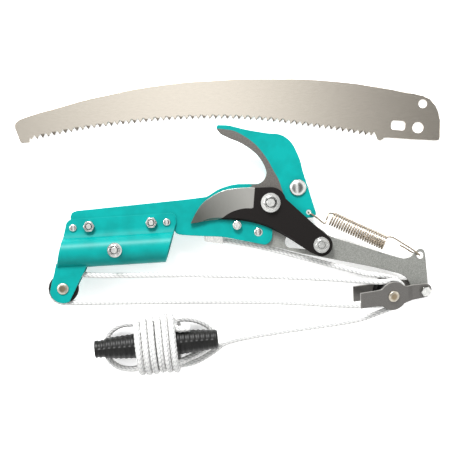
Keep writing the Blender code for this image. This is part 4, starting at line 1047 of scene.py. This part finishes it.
# %% Pivot fasteners
low = PLATE_REAR - GAP
bolt = [(0, low - 4.6), (3.4, low - 4.5), (5.6, low - 3.8), (6.9, low - 2.4), (7.4, low - 0.9), (7.4, low),
        (4.0, low)] + stud_profile(4.0, BLADE_FRONT + 0.4, 31.2, 1.2)
upright("main_bolt", zinc_look, bolt, (0, 0), "head", "zinc_plate", "main_pivot_bolt")
nut = nut_profile(5.9, 4.1, BLADE_FRONT + GAP, 30.6, 8.8)
upright("main_nut", zinc_look, nut, (0, 0), "head", "zinc_plate", "main_pivot_nut")
rear = LEVER_REAR - GAP
rivet = [(0, rear - 2.2), (3.4, rear - 2.1), (5.4, rear - 1.6), (6.4, rear - 0.7), (6.4, rear), (3.8, rear),
         (3.8, 20.1), (3.6, 20.5), (3.0, 20.8), (1.8, 21.0), (0, 21.1)]
upright("lever_rivet", zinc_look, rivet, LEVER_PIVOT, "head", "axle_steel", "lever_pivot_rivet")
pin = [(0, low - 2.0), (5.0, low - 1.9), (5.2, low - 1.6), (5.2, low), (3.0, low), (3.0, 20.8), (4.0, 20.8),
       (4.0, 24.0), (3.7, 24.5), (3.0, 24.8), (0, 24.8)]
upright("blade_stop", zinc_look, pin, STOP_PIN, "head", "axle_steel", "stop_pin")
high = PLATE_FRONT + GAP
dome = [(7.6 * math.cos(q), high + 0.5 + 2.9 * math.sin(q)) for q in np.radians(np.arange(0, 91, 7.5))]
bolt = [(0, 0.4), (2.5, 0.4), (3.0, 0.9, 0, 1.0), (3.0, 8.0, 0, 1.0), (3.0, 8.1), (3.0, high),
        (7.2, high)] + dome
upright("saw_bolt", zinc_look, bolt, SAW_BOLT, "head", "zinc_plate", "saw_mount_bolt")
ring = [(3.2, low - 1.3), (8.4, low - 1.3), (8.6, low - 1.1), (8.6, low - 0.2), (8.4, low), (3.2, low)]
upright("saw_bolt_washer", zinc_look, ring, SAW_BOLT, "head", "zinc_plate", "saw_mount_washer")
top = BLADE_FRONT + GAP
ring = [(3.2, top), (7.0, top), (7.2, top + 0.2), (7.2, top + 1.0), (7.0, top + 1.2), (3.2, top + 1.2)]
upright("drive_pin_washer", zinc_look, ring, DRIVE_PIN, "blade", "zinc_plate", "drive_washer")
seat = top + 1.2 + GAP
bolt = [(0, 6.4), (2.5, 6.4), (3.0, 6.9, 0, 1.0), (3.0, 12.0, 0, 1.0), (3.0, 12.1), (3.0, seat),
        (5.8, seat, 5.0), (5.8, seat + 2.7, 5.0), (4.8, seat + 3.2, 5.0), (3.4, seat + 3.2),
        (3.2, seat + 2.9), (2.9, seat + 2.9), (2.9, seat + 3.5), (2.5, seat + 3.8), (0, seat + 3.8)]
upright("drive_pin_bolt", zinc_look, bolt, DRIVE_PIN, "blade", "zinc_plate", "drive_bolt")
bush_low = LEVER_REAR - 0.5
ring = [(3.2, bush_low), (4.8, bush_low), (5.0, bush_low + 0.2), (5.0, 20.8), (4.8, 21.0), (3.2, 21.0)]
upright("drive_pin_bush", axle_look, ring, DRIVE_PIN, "blade", "zinc_plate", "drive_bush")
ring = [(3.2, bush_low - 1.6), (7.3, bush_low - 1.6), (7.5, bush_low - 1.4), (7.5, bush_low - 0.5),
        (7.3, bush_low - GAP), (3.2, bush_low - GAP)]
upright("drive_pin_rear_washer", zinc_look, ring, DRIVE_PIN, "blade", "zinc_plate", "drive_rear_washer")
low_seat = bush_low - 2 * GAP - 1.3
nut = nut_profile(5.0, 3.1, low_seat - 4.8, low_seat)
upright("drive_pin_nut", zinc_look, nut, DRIVE_PIN, "blade", "zinc_plate", "drive_nut")

# %% Block hardware
end = CHEEK_INSIDE + CHEEK + GAP
axle = turned("block_axle_pin", axle_look, rivet_profile(3.0, -end, end, 5.0, 5.0, 1.5), BLOCK, BLOCK_LEAN)
belongs(axle, "block", "axle_steel", "block_axle")
tail = TAIL_INSIDE + CHEEK + GAP
tail_at = BLOCK + BLOCK_LEAN @ (BLOCK_LENGTH, 0.0, 0.0)
bolt = [(0, -tail - 4.6), (2.0, -tail - 4.6), (2.5, -tail - 4.1, 0, 0.8), (2.5, -tail, 0, 0.8), (2.5, tail),
        (4.9, tail, 4.2), (4.9, tail + 2.7, 4.2), (4.0, tail + 3.2, 4.2), (0, tail + 3.2)]
belongs(turned("block_tail_bolt", zinc_look, bolt, tail_at, BLOCK_LEAN), "block", "zinc_plate", "block_bolt")
nut = nut_profile(4.0, 2.6, -tail - 3.8, -tail)
belongs(turned("block_tail_nut", zinc_look, nut, tail_at, BLOCK_LEAN), "block", "zinc_plate", "block_nut")

# %% [markdown]
# ## Wheels and handle
# The wheels and the handle are moulded plastic: nylon with a fine spark-eroded grain. A wheel is turned from
# a profile with a V groove, and its web is set back from the rim. The handle is moulded in two halves, which
# is why its grip ribs do not meet: each half's row is half a rib out of step with the other's, and both fade
# at the parting line.

# %% Black moulded plastic
plastic_look, tree, shader, coordinates = finish("black_moulded_nylon", Roughness=0.42, IOR=1.53,
                                                 Specular_IOR_Level=0.25)
tree.links.new(two_tones(tree, coordinates, 6, "#0B0B0B", "#141413", 4.0), shader.inputs["Base Color"])
tree.links.new(orange_peel(tree, coordinates, 0.25, 0.02, 0.5).outputs["Normal"], shader.inputs["Normal"])

# %% Wheels
WHEEL_HALF, WHEEL_ROOT = 3.8, 9.3
groove = [(13.0, WHEEL_HALF - 0.4), (13.2, WHEEL_HALF - 0.7), (12.9, 3.0), (11.9, 2.75), (10.6, 2.2),
          (9.8, 1.4), (9.4, 0.6), (WHEEL_ROOT, 0)]
web = [(3.1, WHEEL_HALF), (5.4, WHEEL_HALF), (5.6, WHEEL_HALF - 0.2), (6.2, WHEEL_HALF - 0.7),
       (6.8, WHEEL_HALF - 1.3), (10.4, WHEEL_HALF - 1.3), (10.9, WHEEL_HALF - 0.4)]
half_wheel = web + groove
wheel_profile = half_wheel + [(r, -h) for r, h in half_wheel[::-1][1:]]


def wheel(name, place, lean, body, node):
    made = turned(name, plastic_look, wheel_profile, place, lean, steps=96, step=1.0)
    return belongs(made, body, "black_plastic", node)


off_middle = BLOCK_LEAN @ (0, 0, BLOCK_PULLEY_Z)
wheel("guide_wheel_grooved", GUIDE_PULLEY, np.eye(3), "guide_wheel", "guide_pulley")
wheel("front_wheel_grooved", BLOCK + off_middle, BLOCK_LEAN, "front_wheel", "block_front_pulley")
wheel("rear_wheel_grooved", BLOCK - off_middle, BLOCK_LEAN, "rear_wheel", "block_rear_pulley")

# %% Pull handle
handle_axis = HANDLE_RIGHT - HANDLE_LEFT
handle_length = np.linalg.norm(handle_axis)
forward = handle_axis / handle_length
upward = np.array([0.0, 0.0, 1.0])
sideways = np.cross(upward, forward)
RIB, RIB_DEPTH, SHORT_SECTION = 4.6, 0.22, 9.4
left_end, right_end = [0, 0, 0.15, 0.5], handle_length - np.array([1.5, 0.7, 0.2, 0, 0])
z = np.concatenate([left_end, np.arange(1.0, handle_length - 1.6, 0.3), right_end])
a = 2 * np.pi * np.arange(120) / 120
share = z / handle_length
core = 11.9 - 3.5 * np.abs(2 * share - 1) ** 1.6
core = np.where(z < SHORT_SECTION, 7.9 + 0.02 * z, core)
core[:4] = (0, 7.4, 7.7, 7.85)
core[-5:] = (8.3, 7.9, 7.4, 6.8, 0)
on_grip = np.clip((z - 1.6) / 0.4, 0, 1) * np.clip((handle_length - 1.8 - z) / 0.4, 0, 1)
out_of_step = np.where(np.sin(a) > 0, 0.5, 0.0)
wave = np.cos(2 * np.pi * (z[:, None] / RIB + out_of_step[None, :]))
flat_rib = np.clip(wave * 1.7, -1, 1)
near_parting = np.clip((np.abs(np.sin(a)) - 0.04) / 0.12, 0, 1)
depth = RIB_DEPTH * on_grip[:, None] * near_parting[None, :]
parting = 0.12 * np.exp(-(np.sin(a) / 0.03) ** 2) * (on_grip > 0.5)[:, None]
radius = np.maximum(core[:, None] - depth * (1 - flat_rib) + parting, 0)
grid = (HANDLE_LEFT + forward * z[:, None, None] + radius[..., None]
        * (np.cos(a)[None, :, None] * upward + np.sin(a)[None, :, None] * sideways))
handle = piece_of("ribbed_pull_handle", grid.reshape(-1, 3), squares(len(z), len(a)).tolist(), plastic_look)
belongs(handle, "handle", "black_plastic", "pull_handle")

# %% [markdown]
# ## Return spring
# The spring is close wound from 1.6 mm wire. Wire is a circle carried along a path, and the path is a helix
# between two hooks. The last half turn at each end leaves the coil and is bent by hand into a long hook.

# %% Spring steel
spring_look, tree, shader, coordinates = finish("bright_spring_steel", Metallic=1.0, Roughness=0.24)
tree.links.new(two_tones(tree, coordinates, 1.8, "#8F8474", "#B8AC9C", 3.0), shader.inputs["Base Color"])
drawn = add_node(tree, "ShaderNodeTexNoise", {"Scale": per_mm(0.6), "Detail": 3.0}, {"Vector": coordinates})
drawn_range = add_node(tree, "ShaderNodeMapRange", {"To Min": 0.18, "To Max": 0.32},
                       {"Value": drawn.outputs["Fac"]})
tree.links.new(drawn_range.outputs["Result"], shader.inputs["Roughness"])

# %% Spring and its hooks
SPRING_TURNS, SPRING_RADIUS, WIRE = 23, 6.1, 0.8
coil_start, coil_end = np.array([53.5, -17.2, 19.6]), np.array([101.1, -42.7, 17.6])
coil_axis = (coil_end - coil_start) / np.linalg.norm(coil_end - coil_start)
coil_up = np.cross((0.0, 0.0, 1.0), coil_axis)
coil_up /= np.linalg.norm(coil_up)
coil_over = np.cross(coil_axis, coil_up)
t = np.linspace(0, 1, SPRING_TURNS * 30 + 1)
angle = 2 * np.pi * SPRING_TURNS * t
coil = coil_start + (coil_end - coil_start) * t[:, None]
coil = coil + SPRING_RADIUS * (np.cos(angle)[:, None] * coil_up + np.sin(angle)[:, None] * coil_over)
frame_hook = [(35.4, -12, 14.8), (33.8, -10.9, 15.4), (33.7, -10.7, 19), (34.5, -11.4, 22),
              (37.6, -13.6, 22.6), (41.1, -16.4, 22.4), (46.6, -21.4, 22), (48.2, -20.6, 21.4),
              (49.2, -18.6, 20.6), (50.4, -15.6, 20.2), (52.6, -12.6, 19.6)]
spring_line = np.vstack([spline(np.vstack([frame_hook, coil[3]]), 6)[:-6], coil[3:]])
path, _ = even(spring_line, 0.9)
points, faces = capped(tube_grid(path, WIRE, 10))
spring = piece_of("wound_return_spring", points, faces, spring_look, 80)
belongs(spring, None, "spring_steel", "return_spring")
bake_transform(spring)
onward = (coil[-1] - coil[-2]) / np.linalg.norm(coil[-1] - coil[-2])
lever_hook = [coil[-1] + onward * 0.3, coil[-1] + onward * 2.2, (109, -38.5, 18.6), (118.1, -44.9, 18.6),
              (124.2, -49.2, 18.6), (130.4, -54.4, 18.8), (131.9, -55.5, 15.5), (130.6, -54.8, 12.4),
              (124.6, -52, 12.6), (119.8, -48.6, 13.6), (114.3, -45.3, 15)]
path, _ = even(spline(lever_hook, 8), 0.8)
points, faces = capped(tube_grid(path, WIRE, 10))
long_hook = piece_of("spring_long_hook", points, faces, spring_look, 80)
belongs(long_hook, "spring_end", "spring_steel", "spring_lever_hook")

# %% [markdown]
# ## Rope anchor and wing nut
# Behind the plate a small zinc tab is welded on, and a ferrule on it is crimped round the rope's first end.
# The wing nut that clamps the saw on its pole is on the plate's back as well. Both are seen only from the
# side and below, so the wing nut keeps the frame's shape, in a copy whose rims are rounded by a bevel.

# %% Anchor
FERRULE_START, FERRULE_END = (-61, -27.2, 11.2), (-43.5, -31.2, 11.2)
tab = rounded([(-61, -16.5, 3), (-61, -31, 2), (-44.5, -34, 2), (-44.5, -16.5, 3)])
anchor_tab = plate("rope_anchor_tab", zinc_look, tab, [], 14.8, 17.2, 0.3, 2.5)
belongs(anchor_tab, "head", "zinc_plate", "rope_anchor")
wall = ROPE_RADIUS + GAP
crimped = [(wall, 0), (wall + 1.2, 0), (wall + 1.4, 0.2), (wall + 1.4, 4.0), (wall + 0.9, 4.8),
           (wall + 0.9, 7.2), (wall + 1.4, 8.0), (wall + 1.4, 11.0), (wall + 0.9, 11.8), (wall + 0.9, 14.0),
           (wall + 1.4, 14.8), (wall + 1.4, 16.8), (wall + 1.2, 17), (wall, 17)]
run = np.array(FERRULE_END) - np.array(FERRULE_START)
lie = np.array(Vector((0, 0, 1)).rotation_difference(Vector(run)).to_matrix())
ferrule = turned("rope_anchor_ferrule", zinc_look, crimped, FERRULE_START, lie)
belongs(ferrule, "head", "zinc_plate", "rope_anchor")

# %% Wing nut


def softened(name, node, look, width):
    """A copy of a frame part with its loose triangles merged and its sharp edges rounded by a bevel."""
    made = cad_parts[node].copy()
    made.data = made.data.copy()
    made.name = name
    made.parent = None
    bpy.context.scene.collection.objects.link(made)
    work = bmesh.new()
    work.from_mesh(made.data)
    bmesh.ops.remove_doubles(work, verts=work.verts, dist=2e-6)
    bmesh.ops.dissolve_limit(work, angle_limit=math.radians(2), verts=work.verts, edges=work.edges)
    work.to_mesh(made.data)
    work.free()
    made.data.shade_smooth()
    made.data.materials.clear()
    made.data.materials.append(look)
    soft = made.modifiers.new("soft rims", "BEVEL")
    soft.width = width * MM
    soft.segments = 2
    soft.limit_method = "ANGLE"
    soft.angle_limit = math.radians(40)
    soft.harden_normals = True
    return made


wing_nut = softened("cast_wing_nut", "saw_mount_wing_nut", zinc_look, 0.3)
belongs(wing_nut, "head", "zinc_plate", "saw_mount_wing_nut")

# %% [markdown]
# ## Saw blade
# The saw is ground spring steel, 1.3 mm thick, and its grinding marks run along the blade. The teeth are
# raked, and every second one is filed on the upper face while its neighbours are filed on the lower. The
# teeth are painted darker, deeply on every second tooth and only at the points of those between: painted
# shade, standing in for the filed facets that turn away from the light.

# %% Ground saw steel
saw_look, tree, shader, coordinates = finish("ground_saw_steel", Metallic=1.0)
along_blade = add_node(tree, "ShaderNodeMapping", {"Scale": (0.08, 1.0, 1.0)}, {"Vector": coordinates})
grain = add_node(tree, "ShaderNodeTexNoise", {"Scale": per_mm(0.35), "Detail": 3.0, "Roughness": 0.5},
                 {"Vector": along_blade.outputs["Vector"]})
grain_tone = add_node(tree, "ShaderNodeValToRGB", links={"Fac": grain.outputs["Fac"]})
grain_tone.color_ramp.elements[0].position, grain_tone.color_ramp.elements[0].color = 0.3, linear("#D5CDC0")
grain_tone.color_ramp.elements[1].position, grain_tone.color_ramp.elements[1].color = 0.7, linear("#DED6C9")
# painted shade on the teeth, darker towards their points
painted_tooth_shade = masked(tree, "painted_tooth_shade", 0.9)
tree.links.new(blended(tree, painted_tooth_shade, grain_tone.outputs["Color"], "#857D73"), shader.inputs["Base Color"])
grain_range = add_node(tree, "ShaderNodeMapRange", {"To Min": 0.17, "To Max": 0.22},
                       {"Value": grain.outputs["Fac"]})
tree.links.new(grain_range.outputs["Result"], shader.inputs["Roughness"])
marks = add_node(tree, "ShaderNodeBump", {"Strength": 0.1, "Distance": 0.01 * MM},
                 {"Height": grain.outputs["Fac"]})
tree.links.new(marks.outputs["Normal"], shader.inputs["Normal"])

# %% Saw blade
SAW_THICK, TOOTH_PITCH, TOOTH_DEPTH = 1.3, 5.3, 3.9
saw_back = spline([(-228.4, 83), (-228, 87.4), (-221.9, 91), (-199.3, 96.8), (-146.4, 107.6), (-92.2, 113.9),
                   (-32.2, 115.2), (34.9, 111.4), (88.1, 103.6), (127.8, 94.2), (141.5, 90.7), (150.8, 86.9),
                   (156.4, 80.3), (159.5, 72), (160.3, 63)])
saw_tang = np.vstack([spline([(159.2, 50.5), (158, 48.4), (155.4, 47.8)], 3), [(131, 50.5), (111, 53.2)],
                      arc((104.4, 54.4), 3.4, -20, -175, 12), [(99.6, 58.8), (99, 59)]])
points_of_teeth = spline([(96.4, 55.2), (45.6, 66.4), (-15, 77.3), (-80, 81.2), (-152, 78.6), (-212, 71.3)], 40)
tooth_line, run = even(np.column_stack([points_of_teeth, np.zeros(len(points_of_teeth))]), 0.1)
tips = np.arange(0.6, run[-1] - 0.6 * TOOTH_PITCH, TOOTH_PITCH)
tip_at = np.column_stack([np.interp(tips, run, tooth_line[:, k]) for k in (0, 1)])
ahead = np.column_stack([np.interp(tips + 0.5, run, tooth_line[:, k]) for k in (0, 1)]) - tip_at
ahead /= np.linalg.norm(ahead, axis=1)[:, None]
inward = np.column_stack([ahead[:, 1], -ahead[:, 0]])
# one tooth, as shares of the pitch along and of the depth in: tip, steep face, gullet, long back;
# facet is how much of the filed bevel each of its points has
tooth = np.array([(0.0, 0.0), (0.08, 0.27), (0.16, 0.53), (0.24, 0.8), (0.30, 1.0), (0.42, 1.0),
                  (0.52, 0.83), (0.66, 0.59), (0.8, 0.34), (0.92, 0.14)])
facet = np.array([1.0, 1.0, 0.9, 0.6, 0.0, 0.0, 0.6, 0.9, 1.0, 1.0])
teeth = (tip_at[:, None] + ahead[:, None] * (tooth[:, :1] * TOOTH_PITCH)
         + inward[:, None] * (tooth[:, 1:] * TOOTH_DEPTH))
heel = [(-215.7, 73.6), (-215.5, 69.4), (-216.3, 69.1), (-223, 69), (-224.4, 70.4)]
saw_outline = np.vstack([saw_back, saw_tang, teeth.reshape(-1, 2), heel])
on_teeth = np.zeros((len(saw_outline), 2))
first = len(saw_back) + len(saw_tang)
filed = np.repeat(np.tile((1.0, 0.0), len(tips))[:len(tips)], len(tooth)) * np.tile(facet, len(tips))
on_teeth[first:first + len(filed)] = filed[:, None] * (0.35, 0.35)
on_back = np.zeros_like(on_teeth)
on_back[first:first + len(filed)] = (np.tile(facet, len(tips)) - filed)[:, None] * (0.5, 0.6)
SLOT_LEAN, SLOT_HALF, SLOT_CORNER = math.radians(-8), (6.4, 4.2), 2.6
c, s = math.cos(SLOT_LEAN), math.sin(SLOT_LEAN)
slot = rounded([(x * SLOT_HALF[0], y * SLOT_HALF[1], SLOT_CORNER)
                for x, y in ((-1, -1), (1, -1), (1, 1), (-1, 1))]) @ np.array([[c, s], [-s, c]])
saw_holes = [circle((139.4, 60.7), 5.0), circle((145.2, 82.2), 3.9), slot + (121.5, 63.8)]
saw = plate("ground_saw_blade", saw_look, saw_outline, saw_holes, 0.0, SAW_THICK, 0.15, 3.5, ground=on_teeth,
            ground_under=on_back, smooth=25.0)
spots = places(saw)[:, :2]
# painted shade: every second tooth darkened over most of its depth, the others only at their points
nearest = np.abs(spots[:, None, 0] + 0.8 - tip_at[None, :, 0]).argmin(1)
from_tips = distance(spots, [tip_at], closed=False)
mark(saw, "painted_tooth_shade", np.where(nearest % 2 == 1, 0.95, 0.4) * TOOTH_DEPTH - from_tips)
belongs(saw, "saw", "saw_steel", "saw_blade")
print("teeth:", len(tips))

# %% [markdown]
# ## Floor and light
# A white sweep lies under everything. The light is mostly the room itself: a ceiling that is brightest over
# the middle and falls off to both sides, so that ground steel is bright there and greys towards its ends,
# and bright walls that darken at the horizon, so that rims and wires keep an edge. Two soft boxes, one at
# the back and a weak one at the left, give the highlights.

# %% Floor
floor_look, tree, shader, _ = finish("white_studio_paper", Roughness=0.9)
shader.inputs["Base Color"].default_value = linear("#FAFAFA")
shader.inputs["Emission Color"].default_value = (1.0, 1.0, 1.0, 1.0)
shader.inputs["Emission Strength"].default_value = 0.35
floor_mesh = bpy.data.meshes.new("studio_floor")
HALF_FLOOR, FLOOR_LEVEL = 3, -0.0004
floor_corners = [(x * HALF_FLOOR, y * HALF_FLOOR, FLOOR_LEVEL)
                 for x, y in ((-1, -1), (1, -1), (1, 1), (-1, 1))]
floor_mesh.from_pydata(floor_corners, [], [(0, 1, 2, 3)])
floor_mesh.materials.append(floor_look)
floor = bpy.data.objects.new("studio_floor", floor_mesh)
bpy.context.scene.collection.objects.link(floor)

# %% Light
world = bpy.data.worlds.new("bright_room")
world.use_nodes = True
tree = world.node_tree
looking = add_node(tree, "ShaderNodeTexCoord").outputs["Generated"]
direction = add_node(tree, "ShaderNodeSeparateXYZ", links={"Vector": looking})
sideways_share = add_node(tree, "ShaderNodeMapRange", {"From Min": -0.3, "From Max": 0.3},
                          {"Value": direction.outputs["X"]})
ceiling = add_node(tree, "ShaderNodeValToRGB", links={"Fac": sideways_share.outputs["Result"]})
ceiling.color_ramp.elements.remove(ceiling.color_ramp.elements[1])
ceiling.color_ramp.elements[0].color = (0.18, 0.18, 0.18, 1.0)
for place, bright in ((0.2, 0.33), (0.32, 0.62), (0.48, 1.0), (0.6, 0.64), (0.7, 0.18), (0.8, 0.11)):
    ceiling.color_ramp.elements.new(place).color = (bright, bright, bright, 1.0)
CEILING_STRENGTH = 1.65
ceiling_light = add_node(tree, "ShaderNodeMath", {1: CEILING_STRENGTH}, {0: ceiling.outputs["Color"]},
                         operation="MULTIPLY")
overhead = add_node(tree, "ShaderNodeMapRange", {"From Min": 0.70, "From Max": 0.88},
                    {"Value": direction.outputs["Z"]}, interpolation_type="SMOOTHSTEP")
walls = add_node(tree, "ShaderNodeMapRange",
                 {"From Min": 0.05, "From Max": 0.4, "To Min": 0.22, "To Max": 1.35},
                 {"Value": direction.outputs["Z"]}, interpolation_type="SMOOTHSTEP")
room = add_node(tree, "ShaderNodeMix", data_type="FLOAT",
                links={"Factor": overhead.outputs["Result"], "A": walls.outputs["Result"],
                       "B": ceiling_light.outputs[0]})
tree.links.new(room.outputs["Result"], tree.nodes["Background"].inputs["Strength"])
tree.nodes["Background"].inputs["Color"].default_value = (1.0, 1.0, 1.0, 1.0)
bpy.context.scene.world = world
bpy.context.scene.view_settings.view_transform = "Standard"


def soft_box(name, place, target, size, watts):
    """A square area light that faces its target."""
    data = bpy.data.lights.new(name, "AREA")
    data.size = size
    data.energy = watts
    made = bpy.data.objects.new(name, data)
    made.location = place
    made.rotation_euler = (Vector(target) - Vector(place)).to_track_quat("-Z", "Y").to_euler()
    bpy.context.scene.collection.objects.link(made)
    return made


soft_box("back_box", (-0.25, 1.15, 1.05), (0, 0, 0), 0.5, 40)
soft_box("left_box", (-1.4, 0.5, 1.0), (0, 0, 0), 0.8, 8)
